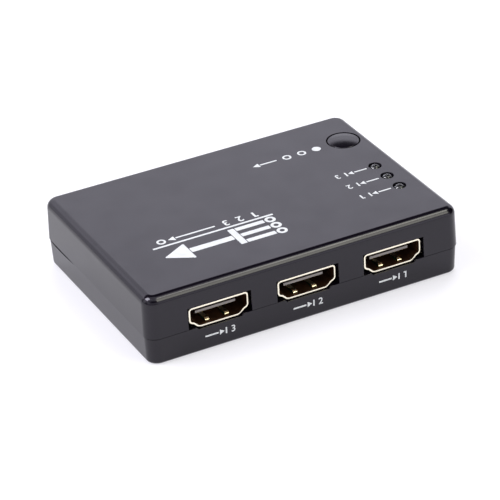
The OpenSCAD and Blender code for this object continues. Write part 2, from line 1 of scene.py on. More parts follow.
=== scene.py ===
"""Dressed scene of a three-input video switch box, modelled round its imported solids."""

import json
import logging
import math
from abc import ABC, abstractmethod
from dataclasses import dataclass, field
from enum import Enum
from typing import Callable, Sequence

import bmesh
import bpy
from mathutils import Matrix, Vector


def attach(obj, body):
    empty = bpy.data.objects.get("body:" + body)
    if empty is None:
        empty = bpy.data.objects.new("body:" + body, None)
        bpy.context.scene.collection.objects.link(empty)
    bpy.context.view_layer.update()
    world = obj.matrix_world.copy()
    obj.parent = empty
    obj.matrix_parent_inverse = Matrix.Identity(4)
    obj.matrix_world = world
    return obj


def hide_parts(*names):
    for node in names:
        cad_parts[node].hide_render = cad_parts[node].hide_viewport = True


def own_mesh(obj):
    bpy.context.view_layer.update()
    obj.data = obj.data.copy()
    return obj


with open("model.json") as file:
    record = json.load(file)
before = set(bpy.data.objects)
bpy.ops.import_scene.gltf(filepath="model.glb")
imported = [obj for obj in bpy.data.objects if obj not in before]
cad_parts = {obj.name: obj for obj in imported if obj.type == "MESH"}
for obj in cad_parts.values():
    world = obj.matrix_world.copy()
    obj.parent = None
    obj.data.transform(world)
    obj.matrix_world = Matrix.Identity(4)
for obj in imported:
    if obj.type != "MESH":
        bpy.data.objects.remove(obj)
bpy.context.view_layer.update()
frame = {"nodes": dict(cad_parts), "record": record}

LOG = logging.getLogger("switch_box")
# A millimetre, in metres
MM = 0.001
# How close to a plane a point of it lies, and how close two points are one, in millimetres
HAIR = 0.01
WELD = 0.0005
# The least cosine between directions that count as the same
NEARLY = 0.9
# How far a tool reaches past the solid that it cuts, in millimetres
PAST = 1.0
CASE = "case"
BUTTON = "button"

Object = bpy.types.Object
Socket = bpy.types.NodeSocket
Edge = bmesh.types.BMEdge
Point = tuple[float, float, float]
Colour = tuple[float, float, float]
Ring = tuple[float, float]
EdgeTest = Callable[[Edge], bool]
FaceTest = Callable[[bmesh.types.BMFace], bool]

UP: Point = (0.0, 0.0, 1.0)
DOWN: Point = (0.0, 0.0, -1.0)


class Fusion(Enum):
    """What a tool solid does to the solid that it meets."""

    CUT = "DIFFERENCE"
    ADD = "UNION"


class Axis(Enum):
    """The line that a turned piece is turned about, as a turn about x."""

    Y = -math.pi / 2
    Z = 0.0


class Side(Enum):
    """The side of the case that a socket looks out of."""

    FRONT = -1
    BACK = 1

    def turn(self) -> float:
        """Angle about z that brings a front socket to this side."""
        return math.pi if self is Side.BACK else 0.0


class Facing(Enum):
    """The face of the case that a print lies on."""

    TOP = "top"
    FRONT = "front"


def level(height: float) -> EdgeTest:
    """A test for the edges that lie at a height."""
    return lambda edge: all(abs(vertex.co.z - height) < HAIR for vertex in edge.verts)


def looking(way: Point) -> FaceTest:
    """A test for the faces that look in a direction."""
    return lambda face: face.normal.dot(Vector(way)) > NEARLY


class Bench:
    """Modelling moves, as made by hand, on a bench marked in millimetres."""

    @staticmethod
    def rest() -> None:
        """Go back to object mode with nothing selected."""
        active = bpy.context.view_layer.objects.active
        if active is not None and active.mode != "OBJECT":
            bpy.ops.object.mode_set(mode="OBJECT")
        bpy.ops.object.select_all(action="DESELECT")

    @staticmethod
    def take(*objects: Object) -> None:
        """Select some objects and make the first one active.

        Args:
            objects: The objects to select.
        """
        Bench.rest()
        for obj in objects:
            obj.select_set(True)
        bpy.context.view_layer.objects.active = objects[0]

    @staticmethod
    def open(obj: Object, kind: str, action: str) -> None:
        """Enter edit mode on one object.

        Args:
            obj: The object to edit.
            kind: The select mode, EDGE or FACE.
            action: SELECT to select it all, or DESELECT to select nothing.
        """
        Bench.take(obj)
        bpy.ops.object.mode_set(mode="EDIT")
        bpy.ops.mesh.select_mode(type=kind)
        bpy.ops.mesh.select_all(action=action)

    @staticmethod
    def faces(obj: Object, test: FaceTest | None = None) -> None:
        """Enter edit mode with some faces selected.

        Args:
            obj: The object to edit.
            test: True for a face to select. Without a test, all are selected.
        """
        Bench.open(obj, "FACE", "DESELECT" if test else "SELECT")
        if test:
            Bench.pick(obj, "faces", test)

    @staticmethod
    def pick(obj: Object, kind: str, test: EdgeTest | FaceTest) -> int:
        """Select the edges or faces of the open mesh that pass a test.

        Args:
            obj: The object in edit mode.
            kind: Edges or faces.
            test: True for what to select.

        Returns:
            The number selected.
        """
        mesh = bmesh.from_edit_mesh(obj.data)
        found = [item for item in getattr(mesh, kind) if test(item)]
        for item in found:
            item.select_set(True)
        bmesh.update_edit_mesh(obj.data)
        return len(found)

    @staticmethod
    def settle(name: str) -> Object:
        """Name the newest object and put its place into its mesh.

        Args:
            name: The object's new name.

        Returns:
            The object, at the origin, unturned and unscaled.
        """
        obj = bpy.context.object
        obj.name = name
        bpy.ops.object.transform_apply(location=True, rotation=True, scale=True)
        return obj

    @staticmethod
    def moved(obj: Object, place: Point, turn: Point = (0.0, 0.0, 0.0)) -> Object:
        """Turn and move an object.

        Args:
            obj: The object.
            place: How far it is moved.
            turn: Angles about x, y and z.

        Returns:
            The same object, with its place in its mesh.
        """
        Bench.take(obj)
        obj.rotation_euler = turn
        obj.location = place
        return Bench.settle(obj.name)

    @staticmethod
    def block(name: str, low: Point, high: Point) -> Object:
        """A square block between two corners.

        Args:
            name: The object's name.
            low: The lowest corner.
            high: The highest corner.

        Returns:
            The new object.
        """
        Bench.rest()
        size = [b - a for a, b in zip(low, high)]
        middle = [(a + b) / 2 for a, b in zip(low, high)]
        bpy.ops.mesh.primitive_cube_add(size=1.0, location=middle, scale=size)
        return Bench.settle(name)

    @staticmethod
    def plate(name: str, size: Ring, radius: float, low_z: float, high_z: float) -> Object:
        """A block centred in x and y with rounded upright edges.

        Args:
            name: The object's name.
            size: Width along x and depth along y.
            radius: Radius of the upright edges.
            low_z: Height of the lower face.
            high_z: Height of the upper face.

        Returns:
            The new object.
        """
        half_w, half_d = size[0] / 2, size[1] / 2
        obj = Bench.block(name, (-half_w, -half_d, low_z), (half_w, half_d, high_z))
        Bench.bevel(obj, Bench.upright, radius, 10)
        return obj

    @staticmethod
    def draw(move: Point, scale: Point, centre: Point) -> None:
        """Draw the selected faces out and widen or narrow them.

        Args:
            move: The step that they are drawn along.
            scale: Their new size by their old.
            centre: The point that stays in place while they change size.
        """
        bpy.ops.mesh.extrude_region_move(TRANSFORM_OT_translate={"value": move})
        bpy.ops.transform.resize(value=scale, center_override=centre)

    @staticmethod
    def turned(name: str, rings: Sequence[Ring], place: Point = (0.0, 0.0, 0.0),
               axis: Axis = Axis.Z, sides: int = 48) -> Object:
        """A turned solid: a disc drawn out ring by ring along its axis.

        Args:
            name: The object's name.
            rings: Pairs of radius and distance along the axis, from end to end.
            place: The point that the distances are measured from.
            axis: The line that the piece is turned about.
            sides: Number of sides of each ring.

        Returns:
            The new object.
        """
        Bench.rest()
        radius, height = rings[0]
        bpy.ops.mesh.primitive_circle_add(vertices=sides, radius=radius, fill_type="NGON",
                                          location=(0.0, 0.0, height))
        obj = Bench.settle(name)
        Bench.faces(obj)
        for next_radius, next_height in rings[1:]:
            ratio = next_radius / radius
            Bench.draw((0.0, 0.0, next_height - height), (ratio, ratio, 1.0), (0.0, 0.0, next_height))
            radius, height = next_radius, next_height
        Bench.outward(obj)
        return Bench.moved(obj, place, (axis.value, 0.0, 0.0))

    @staticmethod
    def rod(name: str, width: float, ends: Ring, place: Point, axis: Axis = Axis.Z,
            sides: int = 48) -> Object:
        """A straight round tool or post.

        Args:
            name: The object's name.
            width: Its diameter.
            ends: Where it starts and ends along its axis.
            place: The point that the ends are measured from.
            axis: The line that it lies along.
            sides: Number of sides.

        Returns:
            The new object.
        """
        return Bench.turned(name, [(width / 2, end) for end in ends], place, axis, sides)

    @staticmethod
    def strip(name: str, size: Ring, start: Point, moves: Sequence[Point]) -> Object:
        """A flat strip: an upright end face drawn out move by move.

        Args:
            name: The object's name.
            size: Width along x and thickness along z.
            start: The middle of the first end face.
            moves: The steps that the end face is drawn along.

        Returns:
            The new object.
        """
        Bench.rest()
        bpy.ops.mesh.primitive_plane_add(size=1.0, location=start, rotation=(math.pi / 2, 0.0, 0.0))
        bpy.ops.transform.resize(value=(size[0], 1.0, size[1]), center_override=start)
        obj = Bench.settle(name)
        Bench.faces(obj)
        for move in moves:
            bpy.ops.mesh.extrude_region_move(TRANSFORM_OT_translate={"value": move})
        Bench.outward(obj)
        return obj

    @staticmethod
    def outward(obj: Object) -> None:
        """Merge doubles and turn every face outwards.

        Args:
            obj: The object to mend.
        """
        Bench.faces(obj)
        bpy.ops.mesh.remove_doubles(threshold=WELD)
        bpy.ops.mesh.normals_make_consistent(inside=False)
        Bench.rest()

    @staticmethod
    def upright(edge: Edge) -> bool:
        """Tell an edge that stands nearly upright."""
        step = edge.verts[1].co - edge.verts[0].co
        return abs(step.z) > NEARLY * step.length

    @staticmethod
    def sharp(edge: Edge) -> bool:
        """Tell an edge whose two faces meet at more than 40 degrees."""
        return len(edge.link_faces) == 2 and edge.calc_face_angle(0.0) > math.radians(40.0)

    @staticmethod
    def bevel(obj: Object, test: EdgeTest, width: float, steps: int) -> None:
        """Round the edges that pass a test.

        Args:
            obj: The object to round.
            test: True for an edge to round.
            width: Distance from the old edge to the new faces.
            steps: Number of faces across the rounding.
        """
        Bench.open(obj, "EDGE", "DESELECT")
        if Bench.pick(obj, "edges", test):
            bpy.ops.mesh.bevel(offset=width, offset_type="OFFSET", segments=steps, profile=0.5,
                               affect="EDGES", clamp_overlap=False)
        Bench.rest()

    @staticmethod
    def slice(obj: Object, point: Point, normal: Point) -> None:
        """Cut off what lies beyond a plane and close the cut.

        Args:
            obj: The object to cut.
            point: A point of the plane.
            normal: The direction of what is cut off.
        """
        Bench.faces(obj)
        bpy.ops.mesh.bisect(plane_co=point, plane_no=normal, use_fill=True, clear_outer=True)
        Bench.rest()

    @staticmethod
    def apply(obj: Object, kind: str, **settings: object) -> None:
        """Add a modifier and apply it.

        Args:
            obj: The object that it changes.
            kind: The modifier's type.
            settings: The modifier's own settings.
        """
        modifier = obj.modifiers.new(kind.lower(), kind)
        for name, setting in settings.items():
            setattr(modifier, name, setting)
        bpy.ops.object.modifier_apply(modifier=modifier.name)

    @staticmethod
    def fuse(obj: Object, how: Fusion, *tools: Object) -> None:
        """Cut tool solids out of a solid, or add them to it, and remove the tools.

        Args:
            obj: The solid that changes.
            how: Whether the tools cut or add.
            tools: The tool solids.
        """
        for tool in tools:
            Bench.take(obj)
            Bench.apply(obj, "BOOLEAN", operation=how.value, solver="EXACT", object=tool)
            bpy.data.objects.remove(tool, do_unlink=True)

    @staticmethod
    def join(name: str, parts: Sequence[Object]) -> Object:
        """Make several objects one.

        Args:
            name: The name of the joined object.
            parts: The objects to join.

        Returns:
            The joined object.
        """
        Bench.take(*parts)
        if len(parts) > 1:
            bpy.ops.object.join()
        parts[0].name = name
        return parts[0]

    @staticmethod
    def copied(obj: Object, name: str, place: Point, turn: float = 0.0) -> Object:
        """A copy with its own mesh, turned about z and moved.

        Args:
            obj: The object to copy.
            name: The copy's name.
            place: How far the copy is moved.
            turn: Angle of the turn about z.

        Returns:
            The copy, with its place in its mesh.
        """
        Bench.take(obj)
        bpy.ops.object.duplicate(linked=False)
        copy = Bench.moved(bpy.context.object, place, (0.0, 0.0, turn))
        copy.name = name
        return copy

    @staticmethod
    def finish(obj: Object, angle: float = 35.0) -> None:
        """Bring a piece to metres, shade it and weight its normals by face area.

        Args:
            obj: The piece, still in millimetres.
            angle: Edges sharper than this many degrees stay sharp.
        """
        Bench.take(obj)
        obj.scale = (MM, MM, MM)
        bpy.ops.object.transform_apply(location=True, rotation=True, scale=True)
        bpy.ops.object.shade_smooth_by_angle(angle=math.radians(angle))
        Bench.apply(obj, "WEIGHTED_NORMAL", keep_sharp=True)
        Bench.rest()


@dataclass(frozen=True)
class Wiring:
    """A node tree and the coordinates that its patterns follow."""

    tree: bpy.types.NodeTree
    place: Socket

    def feed(self, node: bpy.types.Node, name: str | int, value: object) -> None:
        """Set an input of a node.

        Args:
            node: The node.
            name: The input's name or number.
            value: Another node's socket, or a constant.
        """
        if isinstance(value, Socket):
            self.tree.links.new(value, node.inputs[name])
        else:
            node.inputs[name].default_value = value

    def add(self, kind: str, values: dict[str | int, object], **settings: object) -> bpy.types.Node:
        """Add a node.

        Args:
            kind: The end of the name of the node's type.
            values: What its inputs get.
            settings: The node's own settings.

        Returns:
            The node.
        """
        node = self.tree.nodes.new("ShaderNode" + kind)
        for name, setting in settings.items():
            setattr(node, name, setting)
        for name, value in values.items():
            self.feed(node, name, value)
        return node

    def math(self, operation: str, *values: float | Socket) -> Socket:
        """The result of a sum."""
        return self.add("Math", dict(enumerate(values)), operation=operation).outputs[0]

    def vector(self, operation: str, *values: Point | Socket) -> bpy.types.Node:
        """The node of a vector sum."""
        return self.add("VectorMath", dict(enumerate(values)), operation=operation)

    def dot(self, first: Socket, second: Vector) -> Socket:
        """The cosine between a looked-up direction and a fixed one."""
        return self.vector("DOT_PRODUCT", first, second).outputs["Value"]

    def ramp(self, value: Socket, start: float, end: float, **settings: object) -> Socket:
        """A share that rises from 0 to 1 between two values."""
        ends = {"Value": value, "From Min": start, "From Max": end}
        return self.add("MapRange", ends, **settings).outputs["Result"]

    def noise(self, scale: float, detail: float = 3.0) -> Socket:
        """A cloudy pattern with some patches per metre and some finer layers."""
        values = {"Vector": self.place, "Scale": scale, "Detail": detail}
        return self.add("TexNoise", values).outputs["Fac"]

    def spread(self, value: Socket, low: float, high: float) -> Socket:
        """A pattern's middle range, mapped to another range."""
        values = {"Value": value, "From Min": 0.3, "From Max": 0.7, "To Min": low, "To Max": high}
        return self.add("MapRange", values).outputs["Result"]

    def blend(self, share: Socket, first: Colour | Socket, second: Colour) -> Socket:
        """Mix two colours.

        Args:
            share: The share of the second colour.
            first: The first colour, plain or from a node.
            second: The second colour.

        Returns:
            The socket with the mixed colour.
        """
        start = first if isinstance(first, Socket) else (*first, 1.0)
        values = {"Factor": share, "A": start, "B": (*second, 1.0)}
        return self.add("Mix", values, data_type="RGBA").outputs["Result"]


@dataclass(frozen=True)
class Finish:
    """A mottled surface: two tints, a roughness range and a fine relief."""

    name: str
    tint: Colour
    shade: Colour
    rough: Ring = (0.3, 0.4)
    metallic: float = 0.0
    ior: float = 1.5
    grain: float = 1800.0
    relief: float = 0.000004
    depth: float = 0.25
    clear: float = 0.0
    glint: Colour = (1.0, 1.0, 1.0)

    def material(self) -> bpy.types.Material:
        """Make the material once and give the same one afterwards.

        Returns:
            The finished material.
        """
        made = bpy.data.materials.get(self.name)
        if made is not None:
            return made
        made = bpy.data.materials.new(self.name)
        made.use_nodes = True
        made.diffuse_color = (*self.tint, 1.0)
        tree = made.node_tree
        wires = Wiring(tree, tree.nodes.new("ShaderNodeTexCoord").outputs["Object"])
        marks = wires.spread(wires.noise(self.grain / 20), *self.rough)
        values = {"Metallic": self.metallic, "IOR": self.ior, "Transmission Weight": self.clear,
                  "Specular Tint": (*self.glint, 1.0), "Base Color": self.colour(wires),
                  "Roughness": marks, "Normal": self.skin(wires)}
        for name, value in values.items():
            wires.feed(tree.nodes["Principled BSDF"], name, value)
        return made

    def mottle(self, wires: Wiring, breadth: float = 6.0) -> Socket:
        """The two tints in patches, so many times as broad as the grain."""
        share = wires.spread(wires.noise(self.grain / breadth), 0.0, 1.0)
        return wires.blend(share, self.tint, self.shade)

    def colour(self, wires: Wiring) -> Socket:
        """The base colour."""
        return self.mottle(wires)

    def skin(self, wires: Wiring) -> Socket:
        """A fine grain raised over the surface."""
        values = {"Strength": self.depth, "Distance": self.relief, "Height": wires.noise(self.grain)}
        return wires.add("Bump", values).outputs["Normal"]


@dataclass(frozen=True)
class PlatedFinish(Finish):
    """Thin plating with drawing lines along the depth of the part."""

    stretch: Point = (1.0, 0.06, 1.0)

    def skin(self, wires: Wiring) -> Socket:
        """The grain, drawn out into lines along y."""
        mapping = wires.add("Mapping", {"Vector": wires.place, "Scale": self.stretch})
        return super().skin(Wiring(wires.tree, mapping.outputs["Vector"]))


@dataclass(frozen=True)
class TongueFinish(Finish):
    """Dark socket plastic with a painted highlight on the front edge of the tongue, whose top strip stays
    dark as painted shade.
    """

    # Painted highlight: the pale tint stands in for the light falling on the front face of the tongue.
    pale: Colour = (0.27, 0.25, 0.24)
    # The painted highlight fades in over these distances along y and out over these heights, in metres, so
    # the top strip stays dark as painted shade.
    front: Ring = (0.02586, 0.02592)
    below: Ring = (0.00959, 0.00953)

    def colour(self, wires: Wiring) -> Socket:
        """Paint a highlight on what lies at the front of the sockets, below the tongue's upper edge, and
        leave that edge dark as painted shade.

        Args:
            wires: The material's wiring.

        Returns:
            The socket with the colour.
        """
        parts = wires.add("SeparateXYZ", {0: wires.place}).outputs
        reach = wires.ramp(wires.math("ABSOLUTE", parts["Y"]), *self.front)
        # Share of the painted highlight: full on the front face, none on its top strip of painted shade.
        tip = wires.math("MULTIPLY", reach, wires.ramp(parts["Z"], *self.below))
        return wires.blend(tip, self.mottle(wires), self.pale)


@dataclass(frozen=True)
class BoardFinish(Finish):
    """Solder-masked laminate with copper tracks under the mask."""

    track: Colour = (0.006, 0.045, 0.018)
    pitch: float = 420.0
    fold: float = 0.12
    edge: Ring = (0.05, 0.07)

    def colour(self, wires: Wiring) -> Socket:
        """Lay lighter square tracks over the mottled mask.

        Args:
            wires: The material's wiring.

        Returns:
            The socket with the colour.
        """
        lines = wires.add("TexVoronoi", {"Vector": wires.place, "Scale": self.pitch},
                          distance="CHEBYCHEV", feature="F2")
        steps = wires.math("PINGPONG", lines.outputs["Distance"], self.fold)
        return wires.blend(wires.ramp(steps, *self.edge), self.mottle(wires), self.track)


@dataclass(frozen=True)
class InkFinish(Finish):
    """Screen-printed ink with the odd thin spot where the case shows through."""

    bare: Colour = (0.42, 0.42, 0.43)
    thin: Ring = (0.66, 0.76)

    def colour(self, wires: Wiring) -> Socket:
        """Thin the ink in small spots."""
        spots = wires.ramp(wires.noise(self.grain * 2, 2.0), *self.thin)
        return wires.blend(spots, self.mottle(wires, 4.0), self.bare)


INK = InkFinish("screen print ink", (0.72, 0.74, 0.75), (0.62, 0.64, 0.66), (0.4, 0.5), grain=2200.0)
PAPER = Finish("studio paper", (0.36, 0.36, 0.36), (0.352, 0.352, 0.354), (0.8, 0.9), grain=60.0, depth=0.0)
# Painted highlight: a whiter copy of the shell plating on the front faces of the rim, standing in for the
# light that the rim catches.
LIT_RIM_FINISH = PlatedFinish("painted highlight on the shell rim", (1.0, 0.945, 0.79), (0.98, 0.91, 0.73), (0.2, 0.3),
                          metallic=1.0, grain=3000.0)
# Painted shade: a dark copper-brown copy of the shell plating on the inner walls, standing in for the shade
# inside the socket mouths.
SHADED_THROAT_FINISH = PlatedFinish("painted shade inside the shell", (0.3, 0.155, 0.09), (0.24, 0.12, 0.065),
                             (0.35, 0.45), metallic=1.0, grain=3000.0)
FINISHES: dict[str, Finish] = {
    "case_plastic": Finish("moulded case plastic", (0.0042, 0.003, 0.0062), (0.003, 0.0022, 0.0046),
                           (0.13, 0.19), ior=1.45, grain=2600.0, relief=0.000006, depth=0.12,
                           glint=(1.0, 0.975, 1.05)),
    "button_plastic": Finish("moulded button plastic", (0.0042, 0.003, 0.0062), (0.003, 0.0022, 0.0046),
                             (0.2, 0.26), ior=1.5, grain=2600.0, relief=0.000004, depth=0.1,
                             glint=(1.0, 0.975, 1.05)),
    "board_laminate": BoardFinish("masked laminate", (0.003, 0.02, 0.009), (0.002, 0.014, 0.006),
                                  (0.25, 0.35)),
    "gold_plate": PlatedFinish("gold flashed shell", (1.0, 0.9, 0.66), (0.96, 0.82, 0.52), (0.2, 0.32),
                               metallic=1.0, grain=3000.0),
    "contact_gold": PlatedFinish("contact gold", (0.95, 0.72, 0.3), (0.85, 0.6, 0.22), (0.18, 0.28),
                                 metallic=1.0, grain=4000.0),
    "socket_plastic": TongueFinish("socket insulator plastic", (0.02, 0.017, 0.016), (0.014, 0.012, 0.011),
                                   (0.3, 0.42), grain=3500.0),
    "jack_plastic": Finish("jack plastic", (0.012, 0.012, 0.013), (0.008, 0.008, 0.009), (0.25, 0.36),
                           grain=3000.0),
    "screw_steel": Finish("plated screw steel", (0.66, 0.67, 0.69), (0.52, 0.53, 0.56), (0.24, 0.36),
                          metallic=1.0, grain=3500.0),
    "spring_steel": PlatedFinish("spring steel", (0.7, 0.71, 0.73), (0.58, 0.59, 0.62), (0.2, 0.3),
                                 metallic=1.0, grain=3500.0),
    "tinned_metal": Finish("tinned metal", (0.74, 0.75, 0.77), (0.6, 0.61, 0.64), (0.26, 0.4),
                           metallic=1.0, grain=4500.0),
    "plunger_plastic": Finish("plunger plastic", (0.7, 0.69, 0.66), (0.6, 0.59, 0.56), (0.35, 0.45)),
    "lamp_resin": Finish("clear lamp resin", (0.3, 0.3, 0.31), (0.24, 0.24, 0.25), (0.12, 0.18),
                         ior=1.53, grain=2600.0, relief=0.000002, depth=0.1, clear=0.95),
    "chip_plastic": Finish("chip moulding", (0.014, 0.014, 0.015), (0.009, 0.009, 0.01), (0.45, 0.6),
                           grain=6000.0, relief=0.00001, depth=0.35),
    "can_metal": Finish("drawn can metal", (0.78, 0.79, 0.81), (0.66, 0.67, 0.7), (0.2, 0.32),
                        metallic=1.0, grain=2500.0),
    "capacitor_ceramic": Finish("capacitor ceramic", (0.38, 0.25, 0.13), (0.3, 0.19, 0.1), (0.4, 0.55),
                                grain=5000.0),
    "resistor_ceramic": Finish("resistor glaze", (0.02, 0.02, 0.024), (0.012, 0.012, 0.015), (0.25, 0.4),
                               grain=5000.0),
}


@dataclass(frozen=True)
class CaseSizes:
    """Sizes of the closed case, in millimetres."""

    width: float = 80.0
    depth: float = 57.0
    height: float = 17.0
    wall: float = 1.8
    floor: float = 1.8
    roof: float = 1.8
    seam: float = 6.75
    hairline: float = 0.14
    corner: float = 3.0
    inner_corner: float = 1.2
    top_edge: float = 2.0
    bottom_edge: float = 0.8
    draft: float = 0.25
    step: float = 0.2
    lip_height: float = 1.2
    lip_gap: float = 0.1
    lip_in: float = 0.9
    lip_length: float = 40.0
    post: Ring = (34.3, 22.8)
    post_root: float = 0.9
    board_low: float = 4.4
    board_top: float = 6.0
    rim: float = 0.14
    skin: float = 0.7

    def lip(self, name: str, spare: float) -> Object:
        """The lip that lines up the covers at the two ends, with its middle still filled.

        Args:
            name: The object's name.
            spare: Added room all round.

        Returns:
            The new object.
        """
        inset = 2 * (self.lip_in - spare)
        corner = self.inner_corner + self.wall - self.lip_in - self.lip_gap + spare
        lip = Bench.plate(name, (self.width - inset, self.depth - inset), corner,
                          self.seam - PAST, self.seam + self.lip_height + spare)
        half = self.lip_length / 2 + spare
        for hand in (1.0, -1.0):
            Bench.slice(lip, (0.0, hand * half, 0.0), (0.0, hand, 0.0))
        return lip

    def posts(self) -> list[Point]:
        """The feet of the four screw posts."""
        return [(x * self.post[0], y * self.post[1], 0.0) for x in (-1, 1) for y in (-1, 1)]

    def inner(self) -> Ring:
        """Width and depth between the side walls."""
        return self.width - 2 * self.wall, self.depth - 2 * self.wall

    def on_skin(self, point: Vector) -> bool:
        """Tell a point of the outer skin of the side walls.

        Args:
            point: The point.

        Returns:
            Whether it lies in the skin.
        """
        out_x = max(abs(point.x) - (self.width / 2 - self.corner), 0.0)
        out_y = max(abs(point.y) - (self.depth / 2 - self.corner), 0.0)
        return math.hypot(out_x, out_y) > self.corner - self.skin

    def rim_edge(self, edge: Edge) -> bool:
        """Tell a sharp edge that lies in the skin, the roof or the underside."""
        flat = level(self.height)(edge) or level(0.0)(edge)
        return Bench.sharp(edge) and (flat or all(self.on_skin(vertex.co) for vertex in edge.verts))


@dataclass(frozen=True)
class SocketSizes:
    """Sizes of one video socket, in millimetres, and the places of all four."""

    half_w: float = 7.0
    half_h: float = 2.275
    low_half: float = 5.0
    knee: Ring = (6.15, -1.1)
    shoulder: float = -0.85
    wall: float = 0.4
    corner: float = 0.5
    knee_corner: float = 0.3
    depth: float = 10.5
    height: float = 8.925
    mouth: float = 27.75
    gap_half: float = 7.88
    gap_top: float = 12.02
    low_gap: float = 0.65
    places: tuple[tuple[str, float, Side], ...] = (
        ("input_1", 22.2, Side.FRONT), ("input_2", 0.0, Side.FRONT),
        ("input_3", -22.2, Side.FRONT), ("output", -12.0, Side.BACK))

    def prism(self, name: str, grow: float, low_y: float, high_y: float) -> Object:
        """The opening's outline as a solid, centred on the opening.

        Args:
            name: The object's name.
            grow: How far the outline is moved outwards.
            low_y: Where the solid starts.
            high_y: Where the solid ends.

        Returns:
            The new object.
        """
        shoulder, knee, foot = self.corners(grow)
        solid = Bench.block(name, (-shoulder[0], low_y, shoulder[1]),
                            (shoulder[0], high_y, self.half_h + grow))
        Bench.faces(solid, looking(DOWN))
        for (x0, z0), (x1, z1) in ((shoulder, knee), (knee, foot)):
            Bench.draw((0.0, 0.0, z1 - z0), (x1 / x0, 1.0, 1.0), (0.0, 0.0, z1))
        Bench.rest()
        return solid

    def corners(self, grow: float) -> list[Ring]:
        """Lower right corners of the outline, moved outwards.

        Args:
            grow: How far each edge is moved.

        Returns:
            The shoulder, the knee and the foot.
        """
        line = [Vector((self.half_w, self.half_h)), Vector((self.half_w, self.shoulder)), Vector(self.knee),
                Vector((self.low_half, -self.half_h)), Vector((0.0, -self.half_h))]
        sides = [(b - a).normalized() for a, b in zip(line, line[1:])]
        out = [Vector((-side.y, side.x)) for side in sides]
        moved = []
        for point, first, second in zip(line[1:], out, out[1:]):
            corner = point + (first + second) * (grow / (1 + first.dot(second)))
            moved.append((corner.x, corner.y))
        return moved

    def spot(self, x: float, side: Side) -> Point:
        """The middle of a socket's mouth."""
        return x, side.value * self.mouth, self.height


@dataclass(frozen=True)
class JackSizes:
    """Sizes of a round jack whose mouth is in the back wall, in millimetres."""

    name: str
    x: float
    z: float
    nose: float
    bore: float
    bore_end: float
    body: Point
    strips: tuple[Ring, ...]
    mouth: float = 28.3
    nose_length: float = 2.1
    gap: float = 0.2
    wall_y: Ring = (24.9, 29.6)

    def middle(self) -> Point:
        """The point of the jack's axis that distances along y are measured from."""
        return self.x, 0.0, self.z

    def hole(self) -> Object:
        """A tool for the hole that the nose passes through."""
        return Bench.rod(self.name + "_hole", self.nose + 2 * self.gap, self.wall_y, self.middle(), Axis.Y)


POWER_JACK = JackSizes("power_jack", 20.0, 9.0, 5.8, 4.2, 20.0, (7.0, 7.6, 6.0), ((-2.35, 22.7),))
EYE_JACK = JackSizes("eye_jack", 6.0, 8.5, 4.8, 3.6, 13.9, (6.0, 11.0, 5.0),
                     ((2.1, 24.2), (-2.1, 21.2), (2.1, 18.2)))


@dataclass(frozen=True)
class ControlSizes:
    """Sizes of the button and the lamps, in millimetres."""

    x: float = 33.4
    button_y: float = 14.9
    button_hole: float = 8.24
    cap: float = 7.7
    edge: float = 16.98
    dome: float = 0.48
    flange: float = 9.7
    flange_low: float = 14.3
    flange_top: float = 15.1
    flange_limit: float = 37.9
    ease: float = 0.1
    stem: float = 5.2
    stem_low: float = 12.2
    grip: float = 3.6
    grip_top: float = 13.0
    lamp_y: Point = (-12.0, -6.25, -0.5)
    lamp_hole: float = 3.1
    lens: float = 1.45
    lens_low: float = 11.6
    lens_top: float = 17.3
    lens_foot: float = 1.9
    foot_high: float = 1.0
    foot_ease: float = 0.08


@dataclass
class SubAssembly(ABC):
    """A group of pieces that is built and then dressed."""

    pieces: list[Object] = field(default_factory=list, init=False)

    @abstractmethod
    def build(self) -> None:
        """Model the pieces."""

    def seat(self, obj: Object, body: str, slot: str, *nodes: str, finish: Finish | None = None) -> Object:
        """Finish a piece, give it its material and tie it to its body.

        Args:
            obj: The piece, in millimetres.
            body: The CAD body that it moves with.
            slot: The record's material slot.
            nodes: The CAD nodes that it stands for.
            finish: Its finish where that isn't the slot's own.

        Returns:
            The seated piece.
        """
        Bench.finish(obj)
        obj.data.materials.clear()
        obj.data.materials.append((finish or FINISHES[slot]).material())
        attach(obj, body)
        if nodes:
            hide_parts(*nodes)
        self.pieces.append(obj)
        return obj

    def report(self) -> None:
        """Log each piece with its face count."""
        for piece in self.pieces:
            LOG.info("%s: %s, %d faces", type(self).__name__, piece.name, len(piece.data.polygons))


